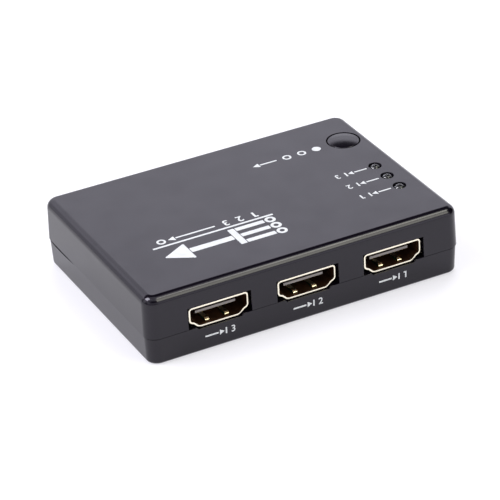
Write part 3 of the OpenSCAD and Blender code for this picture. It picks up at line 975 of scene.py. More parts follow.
@dataclass
class Cover(SubAssembly):
    """One half of the case: a drafted shell with screw posts and openings."""

    case: CaseSizes = CaseSizes()
    sockets: SocketSizes = SocketSizes()
    node: str = ""
    corner_steps: int = 12
    rim_steps: int = 2

    @abstractmethod
    def outside(self) -> Object:
        """Shape the solid block."""

    @abstractmethod
    def hollow(self, cover: Object) -> None:
        """Cut the inside out of the block and add the screw posts."""

    @abstractmethod
    def openings(self) -> list[Object]:
        """Tools for the openings that the two covers don't share."""

    def blank(self, name: str, back: float, joint: float, outer: float, edge: float, steps: int) -> Object:
        """A drafted block with rounded corners and a rounded outer edge.

        Args:
            name: The cover's name.
            back: How far its sides stand back from those of the case.
            joint: Height of its face at the joint.
            outer: Height of its roof or underside.
            edge: Radius of the edge round that.
            steps: Number of faces across that edge.

        Returns:
            The solid block.
        """
        case = self.case
        half_w, half_d = case.width / 2 - back, case.depth / 2 - back
        low, high = sorted((joint, outer))
        cover = Bench.block(name, (-half_w, -half_d, low), (half_w, half_d, high))
        Bench.faces(cover, looking(UP if outer > joint else DOWN))
        lean = (1 - case.draft / half_w, 1 - case.draft / half_d, 1.0)
        bpy.ops.transform.resize(value=lean, center_override=(0.0, 0.0, outer))
        Bench.bevel(cover, Bench.upright, case.corner - back, self.corner_steps)
        Bench.bevel(cover, level(outer), edge, steps)
        return cover

    def gap(self, name: str, x: float, side: Side, low: float) -> Object:
        """A tool for the gap in the wall that a socket stands in.

        Args:
            name: The socket's name.
            x: Its place along x.
            side: The side that it looks out of.
            low: Height that the gap starts at.

        Returns:
            The tool.
        """
        outer, inner = self.case.depth / 2 + PAST, self.case.depth / 2 - self.case.wall - PAST
        near, far = sorted((side.value * outer, side.value * inner))
        half = self.sockets.gap_half
        return Bench.block(name + "_gap", (x - half, near, low), (x + half, far, self.sockets.gap_top))

    def build(self) -> None:
        """Model the cover and ease its rims."""
        cover = self.outside()
        self.hollow(cover)
        Bench.fuse(cover, Fusion.CUT, POWER_JACK.hole(), EYE_JACK.hole(), *self.openings())
        Bench.bevel(cover, self.case.rim_edge, self.case.rim, self.rim_steps)
        self.seat(cover, CASE, "case_plastic", self.node)


@dataclass
class UpperCover(Cover):
    """The upper half of the case, with the openings for sockets, button and lamps."""

    controls: ControlSizes = ControlSizes()
    node: str = "top_cover"
    post: float = 5.0
    pilot: float = 2.06
    pilot_ends: Ring = (5.0, 11.5)
    edge_steps: int = 8

    def outside(self) -> Object:
        """The drafted block with its rounded roof edge."""
        case = self.case
        return self.blank("cover_upper", 0.0, case.seam, case.height, case.top_edge, self.edge_steps)

    def hollow(self, cover: Object) -> None:
        """Cut the inside and the joint's rebate and add the screw posts.

        Args:
            cover: The solid block.
        """
        case = self.case
        roof = case.height - case.roof
        inside = Bench.plate("inside", case.inner(), case.inner_corner, case.seam - PAST, roof)
        Bench.fuse(cover, Fusion.CUT, inside, case.lip("rebate", case.lip_gap))
        ends = (case.board_top, roof + case.post_root)
        for foot in case.posts():
            Bench.fuse(cover, Fusion.ADD, Bench.rod("post", self.post, ends, foot))
            Bench.fuse(cover, Fusion.CUT, Bench.rod("pilot", self.pilot, self.pilot_ends, foot, sides=24))

    def openings(self) -> list[Object]:
        """Tools for the gaps beside the sockets and the holes of the button and the lamps.

        Returns:
            The tools.
        """
        case, controls = self.case, self.controls
        tools = [self.gap(*place, case.seam - PAST) for place in self.sockets.places]
        ends = (case.height - case.roof - PAST, case.height + PAST)
        spot = (controls.x, controls.button_y, 0.0)
        tools.append(Bench.rod("button_hole", controls.button_hole, ends, spot, sides=72))
        for y in controls.lamp_y:
            tools.append(Bench.rod("lamp_hole", controls.lamp_hole, ends, (controls.x, y, 0.0)))
        return tools


@dataclass
class LowerCover(Cover):
    """The lower half of the case, with the joint's lip and the screw posts."""

    node: str = "bottom_cover"
    post: float = 6.0
    through: float = 2.5
    through_top: float = 6.0
    sink: float = 4.4
    sink_top: float = 2.0
    slack_depth: float = 0.8
    slack_over: float = 0.05
    slack_lead: float = 0.2
    slack_gaps: tuple[Ring, ...] = ((11.5, 0.14), (14.0, 0.42), (18.0, 0.63), (23.0, 0.66),
                                    (25.5, 0.47), (28.0, 0.36))
    notch_y: Ring = (-1.75, 2.05)
    edge_steps: int = 6

    def outside(self) -> Object:
        """The drafted block with its rounded floor edge."""
        case, joint = self.case, self.case.seam - self.case.hairline
        return self.blank("cover_lower", case.step, joint, 0.0, case.bottom_edge, self.edge_steps)

    def hollow(self, cover: Object) -> None:
        """Add the lip, cut the inside and add the screw posts with their holes.

        Args:
            cover: The solid block.
        """
        case = self.case
        Bench.fuse(cover, Fusion.ADD, case.lip("lip", 0.0))
        inside = Bench.plate("inside", case.inner(), case.inner_corner, case.floor, case.seam + 3)
        Bench.fuse(cover, Fusion.CUT, inside)
        hole = ((self.sink / 2, -PAST), (self.sink / 2, self.sink_top),
                (self.through / 2, self.sink_top), (self.through / 2, self.through_top))
        ends = (case.post_root, case.board_low)
        for foot in case.posts():
            Bench.fuse(cover, Fusion.ADD, Bench.rod("post", self.post, ends, foot))
            Bench.fuse(cover, Fusion.CUT, Bench.turned("hole", hole, foot))

    def slack(self) -> Object:
        """A thin wedge where the joint stands a little open at the left end, near the back.

        Returns:
            The tool, drawn out along y from gap to gap.
        """
        left, top = -self.case.width / 2, self.case.seam + self.slack_over
        (y, gap), *rest = [(y, gap + self.slack_over) for y, gap in self.slack_gaps]
        wedge = Bench.block("slack", (left - PAST, y - self.slack_lead, top - gap),
                            (left + self.slack_depth, y, top))
        Bench.faces(wedge, looking((0.0, 1.0, 0.0)))
        for next_y, next_gap in rest:
            Bench.draw((0.0, next_y - y, 0.0), (1.0, 1.0, next_gap / gap), (left, next_y, top))
            y, gap = next_y, next_gap
        Bench.rest()
        return wedge

    def openings(self) -> list[Object]:
        """Tools for the slack of the joint, the gaps beside the sockets and the notches under them.

        Returns:
            The tools.
        """
        sockets = self.sockets
        tools = [self.slack()]
        for name, x, side in sockets.places:
            tools.append(self.gap(name, x, side, self.case.seam))
            notch = sockets.prism(name + "_cut", sockets.low_gap, *self.notch_y)
            tools.append(Bench.moved(notch, sockets.spot(x, side), (0.0, 0.0, side.turn())))
        return tools


@dataclass
class CaseScrews(SubAssembly):
    """Four screws with cross recesses, driven from below."""

    case: CaseSizes = CaseSizes()
    head: float = 3.8
    head_low: float = 0.6
    head_top: float = 2.0
    shank: float = 1.0
    root: float = 0.84
    tip: float = 11.0
    pitch: float = 0.7
    plain: float = 2.6
    point: float = 1.3
    ridge: Ring = (0.25, 0.4)
    head_steps: tuple[Ring, ...] = ((0.55, 0.0), (0.86, 0.12), (1.0, 0.45))
    tip_steps: tuple[Ring, ...] = ((0.9, 0.7), (0.3, 0.0))
    cross: Ring = (1.15, 0.3)
    cross_depth: float = 0.8
    cross_taper: float = 0.7

    def rings(self) -> list[Ring]:
        """Profile from the driven face to the tip, with the thread as ridges.

        Returns:
            Pairs of radius and height.
        """
        radius = self.head / 2
        rings = [(radius * share, self.head_low + rise) for share, rise in self.head_steps]
        rings += [(radius, self.head_top), (self.shank, self.head_top)]
        height = self.head_top + self.plain
        while height < self.tip - self.point:
            rings.append((self.shank, height))
            rings += [(self.root, height + rise) for rise in self.ridge]
            height += self.pitch
        rings.append((self.shank, height))
        return rings + [(self.shank * share, self.tip - back) for share, back in self.tip_steps]

    def build(self) -> None:
        """Model one screw, cut its recess and copy it to the four posts."""
        screw = Bench.turned("screw", self.rings(), sides=32)
        deep = self.head_low + self.cross_depth
        for x, y in (self.cross, self.cross[::-1]):
            slot = Bench.block("slot", (-x, -y, self.head_low - PAST), (x, y, deep))
            Bench.faces(slot, looking(UP))
            taper = (self.cross_taper, self.cross_taper, 1.0)
            bpy.ops.transform.resize(value=taper, center_override=(0.0, 0.0, deep))
            Bench.fuse(screw, Fusion.CUT, slot)
        for number, foot in enumerate(self.case.posts(), 1):
            copy = Bench.copied(screw, f"case_screw_{number}", foot)
            self.seat(copy, CASE, "screw_steel", "case_screws")
        bpy.data.objects.remove(screw, do_unlink=True)


@dataclass
class VideoSockets(SubAssembly):
    """Four plated socket shells with spring fingers and board legs."""

    sizes: SocketSizes = SocketSizes()
    finger_x: float = 2.45
    finger_w: float = 1.0
    finger_t: float = 0.2
    finger_y: tuple[float, ...] = (6.9, 6.1, 4.2, 2.4, 1.9, 1.55, 1.12)
    finger_lift: Point = (0.05, 0.06, 0.43)
    window: Ring = (0.85, 6.4)
    window_half: float = 0.4
    slit: float = 0.14
    upper_bow: float = 0.25
    lower_bow: float = 0.5
    rim: float = 0.07
    rim_round: float = 0.06
    knee_zone: Ring = (0.1, 0.24)
    leg_y: Ring = (3.2, 8.6)
    leg_w: float = 1.6
    leg_low: float = 3.4
    leg_top: float = 0.6
    leg_taper: float = 0.45

    def bend(self, edge: Edge, near: float, far: float) -> bool:
        """Tell an edge along the shell that lies between two distances from the knee's height."""
        first, second = (vertex.co for vertex in edge.verts)
        return abs(second.y - first.y) > 1.0 and near < abs(first.z - self.sizes.knee[1]) < far

    def tube(self) -> Object:
        """Bend the shell from its outline, give it a wall and round its rim.

        Returns:
            The open tube, its mouth at y = 0.
        """
        sizes = self.sizes
        shell = sizes.prism("shell", 0.0, 0.0, sizes.depth)
        near, far = self.knee_zone
        Bench.bevel(shell, lambda edge: self.bend(edge, -1.0, near), sizes.knee_corner, 4)
        Bench.bevel(shell, lambda edge: self.bend(edge, far, math.inf) and Bench.sharp(edge),
                    sizes.corner, 5)
        Bench.outward(shell)
        Bench.faces(shell, lambda face: abs(face.normal.y) > NEARLY)
        bpy.ops.mesh.delete(type="FACE")
        Bench.take(shell)
        Bench.apply(shell, "SOLIDIFY", thickness=sizes.wall, offset=1.0, use_even_offset=True)
        Bench.bevel(shell, lambda edge: Bench.sharp(edge) and all(v.co.y < HAIR for v in edge.verts),
                    self.rim_round, 2)
        return shell

    def finger(self, x: float, hand: float) -> Object:
        """One spring finger, bowed into the opening.

        Args:
            x: The finger's place across the opening.
            hand: 1 for the upper wall and -1 for the lower.

        Returns:
            The finger.
        """
        wall = self.sizes.half_h + self.sizes.wall / 2
        bow = self.sizes.half_h - (self.upper_bow if hand > 0 else self.lower_bow)
        before, after, end = (bow + lift for lift in self.finger_lift)
        heights = (wall, wall, (wall + bow) / 2, before, bow, after, min(end, wall))
        line = list(zip(self.finger_y, heights))
        moves = [(0.0, b[0] - a[0], hand * (b[1] - a[1])) for a, b in zip(line, line[1:])]
        start = (x, line[0][0], hand * line[0][1])
        return Bench.strip("finger", (self.finger_w, self.finger_t), start, moves)

    def leg(self, hand: float, y: float) -> Object:
        """One board leg with a tapered foot.

        Args:
            hand: 1 for the right wall and -1 for the left.
            y: The leg's place along the shell.

        Returns:
            The leg.
        """
        half_t, half_w = self.sizes.wall / 2, self.leg_w / 2
        middle = hand * (self.sizes.half_w + half_t)
        low = self.leg_low - self.sizes.height
        leg = Bench.block("leg", (middle - half_t, y - half_w, low),
                          (middle + half_t, y + half_w, self.leg_top))
        Bench.bevel(leg, lambda edge: level(low)(edge)
                    and abs(edge.verts[0].co.x - edge.verts[1].co.x) > 0.1, self.leg_taper, 2)
        return leg

    def shell(self) -> Object:
        """Cut the windows and add the fingers and legs.

        Returns:
            One complete shell at the origin.
        """
        shell = self.tube()
        half = self.finger_w / 2 + self.slit
        wall = self.sizes.half_h + self.sizes.wall / 2
        for x in (-self.finger_x, self.finger_x):
            for hand in (-1.0, 1.0):
                window = Bench.block("window", (x - half, self.window[0], hand * wall - self.window_half),
                                     (x + half, self.window[1], hand * wall + self.window_half))
                Bench.fuse(shell, Fusion.CUT, window)
                Bench.fuse(shell, Fusion.ADD, self.finger(x, hand))
        for hand in (-1.0, 1.0):
            for y in self.leg_y:
                Bench.fuse(shell, Fusion.ADD, self.leg(hand, y))
        return shell

    def plate(self, shell: Object, x: float) -> None:
        """Give the rim of a seated shell a painted highlight and its inner walls painted shade, as lighter
        and darker copies of the plating.

        Args:
            shell: The seated shell, in metres.
            x: The socket's place along x, in millimetres.
        """
        sizes = self.sizes
        for finish in (LIT_RIM_FINISH, SHADED_THROAT_FINISH):
            shell.data.materials.append(finish.material())
        for face in shell.data.polygons:
            across, up = face.center.x / MM - x, face.center.z / MM - sizes.height
            # Inward faces away from the spring fingers take the painted shade.
            inwards = face.normal.x * across + face.normal.z * up < -0.05
            sprung = abs(abs(across) - self.finger_x) < self.finger_w / 2 + 0.02
            # Faces within the rim's depth of the mouth take the painted highlight.
            if sizes.mouth - abs(face.center.y) / MM < self.rim:
                face.material_index = 1
            elif inwards and not sprung:
                face.material_index = 2

    def build(self) -> None:
        """Model one shell and copy it to the four sockets."""
        shell = self.shell()
        for name, x, side in self.sizes.places:
            copy = Bench.copied(shell, name + "_socket", self.sizes.spot(x, side), side.turn())
            self.plate(self.seat(copy, CASE, "gold_plate", name + "_shell"), x)
        bpy.data.objects.remove(shell, do_unlink=True)


@dataclass
class SelectButton(SubAssembly):
    """The round push button."""

    sizes: ControlSizes = ControlSizes()
    fillet: float = 0.16
    fillet_steps: int = 5
    dome_steps: int = 10

    def rings(self) -> list[Ring]:
        """Profile from the plunger's seat, round the stem and flange, to the dome.

        Returns:
            Pairs of radius and height.
        """
        s = self.sizes
        radius, brim = s.cap / 2, s.flange / 2
        rings = [(s.grip / 2, s.grip_top), (s.grip / 2, s.stem_low), (s.stem / 2, s.stem_low),
                 (s.stem / 2, s.flange_low), (brim - s.ease, s.flange_low), (brim, s.flange_low + s.ease),
                 (brim, s.flange_top - s.ease), (brim - s.ease, s.flange_top), (radius, s.flange_top)]
        for step in range(self.fillet_steps + 1):
            angle = math.pi / 2 * step / self.fillet_steps
            rings.append((radius - self.fillet * (1 - math.cos(angle)),
                          s.edge - self.fillet * (1 - math.sin(angle))))
        ball = (radius * radius + s.dome * s.dome) / (2 * s.dome)
        flat = radius - self.fillet
        foot = math.sqrt(ball * ball - flat * flat)
        for step in range(1, self.dome_steps + 1):
            reach = max(flat * (1 - step / self.dome_steps), 0.05)
            rings.append((reach, s.edge + math.sqrt(ball * ball - reach * reach) - foot))
        return rings

    def build(self) -> None:
        """Turn the button and trim its flange beside the wall."""
        s = self.sizes
        button = Bench.turned("press_button", self.rings(), (s.x, s.button_y, 0.0), sides=72)
        Bench.slice(button, (s.flange_limit, 0.0, 0.0), (1.0, 0.0, 0.0))
        self.seat(button, BUTTON, "button_plastic", "select_button")


@dataclass
class SnapDome(SubAssembly):
    """The sprung dome inside the push switch, which flattens under the plunger."""

    place: Ring = (33.4, 14.9)
    foot: float = 6.9
    radius: float = 2.1
    rise: float = 0.43
    sheet: float = 0.12
    stroke: float = 0.35
    steps: int = 10

    def rings(self) -> list[Ring]:
        """Profile along the inside from the middle to the rim and back over the outside.

        Returns:
            Pairs of radius and height.
        """
        shares = [max(step / self.steps, 0.015) for step in range(self.steps + 1)]
        inside = [(self.radius * share, self.foot + self.rise * (1 - share ** 2)) for share in shares]
        return inside + [(reach, height + self.sheet) for reach, height in reversed(inside)]

    def build(self) -> None:
        """Turn the dome and seat it."""
        dome = Bench.turned("snap_dome", self.rings(), (*self.place, 0.0))
        self.seat(dome, CASE, "spring_steel", "switch_dome")
        anchor = tuple(MM * value for value in (*self.place, self.foot))
        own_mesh(dome)


@dataclass
class IndicatorLamps(SubAssembly):
    """Three clear lamps, each with the metal frame set in its resin."""

    sizes: ControlSizes = ControlSizes()
    dome_steps: int = 8
    tip: float = 0.03
    metal_low: float = 0.2
    metal_half: float = 0.25
    cup_x: Ring = (0.15, 1.1)
    cup_top: float = 2.3
    cup_rim: float = 0.08
    cup_depth: float = 0.18
    wire_x: Ring = (-1.1, -0.2)
    wire_top: float = 1.9
    wire_round: float = 0.15

    def lens(self) -> Object:
        """Turn one lens with its foot and round tip.

        Returns:
            The lens at the origin.
        """
        s = self.sizes
        foot, ease, low, high = s.lens_foot, s.foot_ease, s.lens_low, s.lens_low + s.foot_high
        rings = [(foot - ease, low), (foot, low + ease), (foot, high - ease), (foot - ease, high),
                 (s.lens, high)]
        middle = s.lens_top - s.lens
        for step in range(self.dome_steps):
            angle = math.pi / 2 * step / self.dome_steps
            rings.append((s.lens * math.cos(angle), middle + s.lens * math.sin(angle)))
        rings.append((self.tip, s.lens_top))
        return Bench.turned("lens", rings)

    def metal(self) -> Object:
        """Shape the cup post and the wire post inside one lens.

        Returns:
            The metal frame at the origin.
        """
        foot, half = self.sizes.lens_low + self.metal_low, self.metal_half
        cup_top, wire_top = self.sizes.lens_low + self.cup_top, self.sizes.lens_low + self.wire_top
        cup = Bench.block("cup", (self.cup_x[0], -half, foot), (self.cup_x[1], half, cup_top))
        Bench.faces(cup, looking(UP))
        bpy.ops.mesh.inset(thickness=self.cup_rim, depth=-self.cup_depth)
        Bench.rest()
        wire = Bench.block("wire", (self.wire_x[0], -half, foot), (self.wire_x[1], half, wire_top))
        Bench.bevel(wire, level(wire_top), self.wire_round, 2)
        return Bench.join("lamp_metal", [cup, wire])

    def build(self) -> None:
        """Model one lamp and copy it to the three holes."""
        lens, metal = self.lens(), self.metal()
        for number, y in enumerate(self.sizes.lamp_y, 1):
            spot = (self.sizes.x, y, 0.0)
            self.seat(Bench.copied(lens, f"lamp_lens_{number}", spot), CASE, "lamp_resin", f"lamp_{number}")
            self.seat(Bench.copied(metal, f"lamp_metal_{number}", spot), CASE, "tinned_metal")
        bpy.data.objects.remove(lens, do_unlink=True)
        bpy.data.objects.remove(metal, do_unlink=True)


@dataclass
class BackJacks(SubAssembly):
    """The housings of the power jack and of the remote eye's jack."""

    jacks: tuple[JackSizes, ...] = (POWER_JACK, EYE_JACK)
    board_top: float = 6.0
    slot: Ring = (0.7, 1.4)
    slot_top: float = 1.2
    body_round: float = 0.3
    nose_root: float = 0.5
    nose_edge: float = 0.2
    flare: float = 0.3
    flare_y: Ring = (-0.25, 0.05)
    pin: float = 1.4
    pin_ends: Ring = (17.0, 22.0)

    def housing(self, jack: JackSizes) -> Object:
        """Shape one housing: a block with a round nose, a bore and slots for its strips.

        Args:
            jack: The jack's sizes.

        Returns:
            The housing.
        """
        front, half = jack.mouth - jack.nose_length, jack.body[0] / 2
        top = self.board_top + jack.body[2]
        body = Bench.block(jack.name + "_body", (jack.x - half, front - jack.body[1], self.board_top),
                           (jack.x + half, front, top))
        Bench.bevel(body, lambda edge: level(top)(edge) or Bench.upright(edge), self.body_round, 2)
        radius = jack.nose / 2
        rings = ((radius, front - self.nose_root), (radius, jack.mouth - self.nose_edge),
                 (radius - self.nose_edge, jack.mouth))
        Bench.fuse(body, Fusion.ADD, Bench.turned("nose", rings, jack.middle(), Axis.Y))
        radius, wide = jack.bore / 2, jack.bore / 2 + self.flare
        rings = ((radius, jack.bore_end), (radius, jack.mouth + self.flare_y[0]),
                 (wide, jack.mouth + self.flare_y[1]), (wide, jack.mouth + PAST))
        Bench.fuse(body, Fusion.CUT, Bench.turned("bore", rings, jack.middle(), Axis.Y))
        half_x, half_y = self.slot[0] / 2, self.slot[1] / 2
        for across, y in jack.strips:
            x = jack.x + across
            slot = Bench.block("slot", (x - half_x, y - half_y, self.board_top - PAST),
                               (x + half_x, y + half_y, jack.z + self.slot_top))
            Bench.fuse(body, Fusion.CUT, slot)
        return body

    def build(self) -> None:
        """Model both housings."""
        for jack in self.jacks:
            body = self.housing(jack)
            if jack is POWER_JACK:
                pin = Bench.rod("pin_hole", self.pin, self.pin_ends, jack.middle(), Axis.Y, 24)
                Bench.fuse(body, Fusion.CUT, pin)
            self.seat(body, CASE, "jack_plastic", jack.name + "_housing")


@dataclass
class FacePrints(SubAssembly):
    """White printed signs: plain numbers, arrows, rings and bars."""

    case: CaseSizes = CaseSizes()
    sockets: SocketSizes = SocketSizes()
    controls: ControlSizes = ControlSizes()
    thickness: float = 0.05
    proud: float = 0.02
    port_z: float = 3.65
    lamp_x: float = 26.8
    lamp_drop: float = 0.2
    round_sides: int = 40
    bar_ease: float = 0.12
    arrow_ease: float = 0.1
    stroke: float = 0.11
    flag: Ring = (0.34, 0.3)
    figure: float = 0.69
    bold: float = 0.02

    def thicken(self, obj: Object) -> Object:
        """Give a flat sign its thickness of ink.

        Args:
            obj: The flat sign in the plane z = 0.

        Returns:
            The same object, closed all round.
        """
        Bench.faces(obj)
        bpy.ops.mesh.remove_doubles(threshold=WELD)
        bpy.ops.mesh.extrude_region_move(TRANSFORM_OT_translate={"value": (0.0, 0.0, self.thickness)})
        Bench.outward(obj)
        return obj

    def bar(self, left: float, right: float, low: float, high: float) -> Object:
        """A straight bar with eased corners.

        Args:
            left: Its left end.
            right: Its right end.
            low: Its lower edge.
            high: Its upper edge.

        Returns:
            The bar.
        """
        bar = Bench.block("bar", (left, low, 0.0), (right, high, self.thickness))
        Bench.bevel(bar, Bench.upright, self.bar_ease * min(right - left, high - low), 2)
        return bar

    def arrow(self, x: float, radius: float) -> Object:
        """An arrow head that points right.

        Args:
            x: Its middle, across.
            radius: Distance from its middle to its corners.

        Returns:
            The arrow head.
        """
        Bench.rest()
        bpy.ops.mesh.primitive_circle_add(vertices=3, radius=radius, fill_type="NGON",
                                          location=(x, 0.0, 0.0), rotation=(0.0, 0.0, -math.pi / 2))
        head = self.thicken(Bench.settle("arrow"))
        Bench.bevel(head, Bench.upright, self.arrow_ease * radius, 2)
        return head

    def disc(self, x: float, y: float, radius: float, hole: float = 0.0) -> Object:
        """A disc, or a ring where it has a hole.

        Args:
            x: Its middle, across.
            y: Its middle, up.
            radius: Its outer radius.
            hole: The radius of its hole.

        Returns:
            The disc or ring.
        """
        spot = (x, y, 0.0)
        disc = Bench.rod("disc", 2 * radius, (0.0, self.thickness), spot, sides=self.round_sides)
        if hole:
            tool = Bench.rod("hole", 2 * hole, (-PAST, PAST), spot, sides=self.round_sides)
            Bench.fuse(disc, Fusion.CUT, tool)
        return disc

    def digit(self, number: int, x: float, height: float) -> Object:
        """A plain number, centred on the line y = 0.

        Args:
            number: The number.
            x: Its middle, across.
            height: Its height.

        Returns:
            The number as a closed mesh.
        """
        half, stroke = height / 2, self.stroke * height
        if number == 1:
            stem = self.bar(x - stroke, x + stroke, -half, half)
            flag = self.bar(x - self.flag[0] * height, x + stroke, self.flag[1] * height, half)
            Bench.fuse(stem, Fusion.ADD, flag)
            return stem
        Bench.rest()
        bpy.ops.object.text_add(location=(0.0, 0.0, 0.0))
        text = bpy.context.object.data
        text.body = str(number)
        text.align_x = "CENTER"
        text.size = height / self.figure
        text.offset = self.bold * height
        text.resolution_u = 6
        bpy.ops.object.convert(target="MESH")
        return self.thicken(Bench.moved(Bench.settle("digit"), (x, -half, 0.0)))

    def lay(self, name: str, parts: Sequence[Object], facing: Facing, spot: Ring) -> None:
        """Join the parts of a sign and lay it on the case.

        Args:
            name: The sign's name.
            parts: Its parts, drawn about the origin.
            facing: The face that it lies on.
            spot: Its middle on that face.
        """
        case = self.case
        sunk = self.thickness - self.proud
        if facing is Facing.TOP:
            place, turn = (*spot, case.height - sunk), (0.0, 0.0, math.pi)
        else:
            slope = case.draft / case.seam
            skin = case.depth / 2 - case.step - slope * (case.seam - spot[1])
            place, turn = (spot[0], sunk - skin, spot[1]), (math.pi / 2 + math.atan(slope), 0.0, 0.0)
        sign = Bench.moved(Bench.join(name, parts), place, turn)
        self.seat(sign, CASE, "case_plastic", finish=INK)

    def build(self) -> None:
        """Print the signs of the ports, the lamps, the button and the middle of the roof."""
        ports = [x for _, x, side in self.sockets.places if side is Side.FRONT]
        for number, x in enumerate(ports, 1):
            parts = [self.bar(-3.9, -0.6, -0.2, 0.2), self.arrow(0.1, 0.8),
                     self.bar(1.15, 1.5, -0.8, 0.8), self.digit(number, 3.1, 1.65)]
            self.lay(f"print_port_{number}", parts, Facing.FRONT, (x, self.port_z))
        for number, y in enumerate(self.controls.lamp_y, 1):
            parts = [self.bar(-4.2, -0.9, -0.22, 0.22), self.arrow(-0.1, 0.9),
                     self.bar(1.1, 1.5, -0.9, 0.9), self.digit(number, 3.6, 1.8)]
            self.lay(f"print_lamp_{number}", parts, Facing.TOP, (self.lamp_x, y - self.lamp_drop))
        parts = [self.disc(-8.2, 0.0, 1.1), self.disc(-4.2, 0.0, 1.1, 0.65),
                 self.disc(-0.2, 0.0, 1.1, 0.65), self.bar(2.6, 7.0, -0.25, 0.25), self.arrow(7.8, 1.1)]
        self.lay("print_select", parts, Facing.TOP, (17.6, 14.5))
        parts = [self.bar(-4.4, -2.8, -3.7, 3.7), self.bar(-2.6, 8.2, -0.95, 0.95), self.arrow(10.5, 4.2)]
        for row in (-2.95, 0.0, 2.95):
            parts += [self.disc(-13.5, row, 1.3, 0.6), self.bar(-11.9, -4.6, row - 0.7, row + 0.7)]
        self.lay("print_merge", parts, Facing.TOP, (-13.2, -13.15))
        self.lay("print_rule", [self.bar(-15.25, 15.25, -0.3, 0.3)], Facing.TOP, (-13.25, -8.3))
        parts = [self.digit(number, -15.0 + 3.6 * number, 2.3) for number in (1, 2, 3)]
        parts += [self.bar(-1.4, 8.6, -0.25, 0.25), self.arrow(9.4, 1.1), self.disc(12.2, 0.0, 1.1, 0.6)]
        self.lay("print_row", parts, Facing.TOP, (-13.25, -6.2))


def dress_nodes() -> None:
    """Give every CAD node its slot's material."""
    for row in frame["record"]["subparts"]:
        node = frame["nodes"][row["node"]]
        material = FINISHES[row["material_slot"]].material()
        if not node.material_slots:
            node.data.materials.append(material)
        for slot in node.material_slots:
            slot.material = material
        LOG.info("node %s: %s", row["node"], material.name)


class Tint(Enum):
    """The tint of a patch of light."""

    COOL = (0.985, 0.977, 1.055)
    BACKDROP = (0.985, 0.975, 1.085)
    WARM = (1.03, 1.04, 0.87)


def towards(azimuth: float, elevation: float) -> Vector:
    """Unit vector in a direction.

    Args:
        azimuth: Degrees round from +Y towards +X.
        elevation: Degrees above level.

    Returns:
        The vector.
    """
    turn, rise = math.radians(azimuth), math.radians(elevation)
    return Vector((math.sin(turn) * math.cos(rise), math.cos(turn) * math.cos(rise), math.sin(rise)))


@dataclass(frozen=True)
class SkyLobe:
    """A soft round patch of light, far away: its direction in degrees and its strength."""

    azimuth: float
    elevation: float
    strength: float
    tint: Tint = Tint.COOL
    falloff: float = 25.0

    def light(self, wires: Wiring) -> Socket:
        """The patch's light in the direction that is looked up."""
        facing = wires.math("MAXIMUM", wires.dot(wires.place, towards(self.azimuth, self.elevation)), 0.0)
        return wires.math("MULTIPLY", wires.math("POWER", facing, self.falloff), self.strength)


@dataclass(frozen=True)
class SkyPanel:
    """A soft-edged panel of light, far away: its middle, its reach in elevation and its strength."""

    azimuth: float
    low: float
    high: float
    strength: float
    tint: Tint = Tint.BACKDROP
    half: float = 15.0
    soft: float = 3.0

    def light(self, wires: Wiring, rise: Socket, across: Socket) -> Socket:
        """The panel's light in the direction that is looked up.

        Args:
            wires: The sky's wiring.
            rise: The sine of that direction's elevation.
            across: That direction, laid level.

        Returns:
            The socket with the light.
        """
        side = wires.dot(across, towards(self.azimuth, 0.0))
        low = [math.sin(math.radians(self.low + hand * self.soft)) for hand in (-1, 1)]
        high = [math.sin(math.radians(self.high + hand * self.soft)) for hand in (1, -1)]
        ends = [math.cos(math.radians(self.half + hand * self.soft)) for hand in (1, -1)]
        value = wires.ramp(rise, *low, interpolation_type="SMOOTHSTEP")
        for socket, edge in ((rise, high), (side, ends)):
            share = wires.ramp(socket, *edge, interpolation_type="SMOOTHSTEP")
            value = wires.math("MULTIPLY", share, value)
        return wires.math("MULTIPLY", value, self.strength)


@dataclass(frozen=True)
class SoftBox:
    """A square lamp near the object: its direction in degrees, its strength, and its size in metres."""

    azimuth: float
    elevation: float
    strength: float
    tint: Tint = Tint.COOL
    distance: float = 0.6
    size: float = 0.22
    floor_only: bool = False

    def hang(self, floor: Object) -> None:
        """Hang the lamp over the floor.

        Args:
            floor: The floor, which is all that some lamps light.
        """
        way = towards(self.azimuth, self.elevation)
        bpy.ops.object.light_add(type="AREA", location=way * self.distance,
                                 rotation=way.to_track_quat("Z", "Y").to_euler())
        lamp = bpy.context.object
        lamp.name = "soft_box"
        lamp.data.shape = "SQUARE"
        lamp.data.size = self.size
        lamp.data.color = self.tint.value
        lamp.data.energy = math.pi * self.size ** 2 * self.strength
        if self.floor_only:
            lit = bpy.data.collections.new("lit_floor")
            lit.objects.link(floor)
            lamp.light_linking.receiver_collection = lit


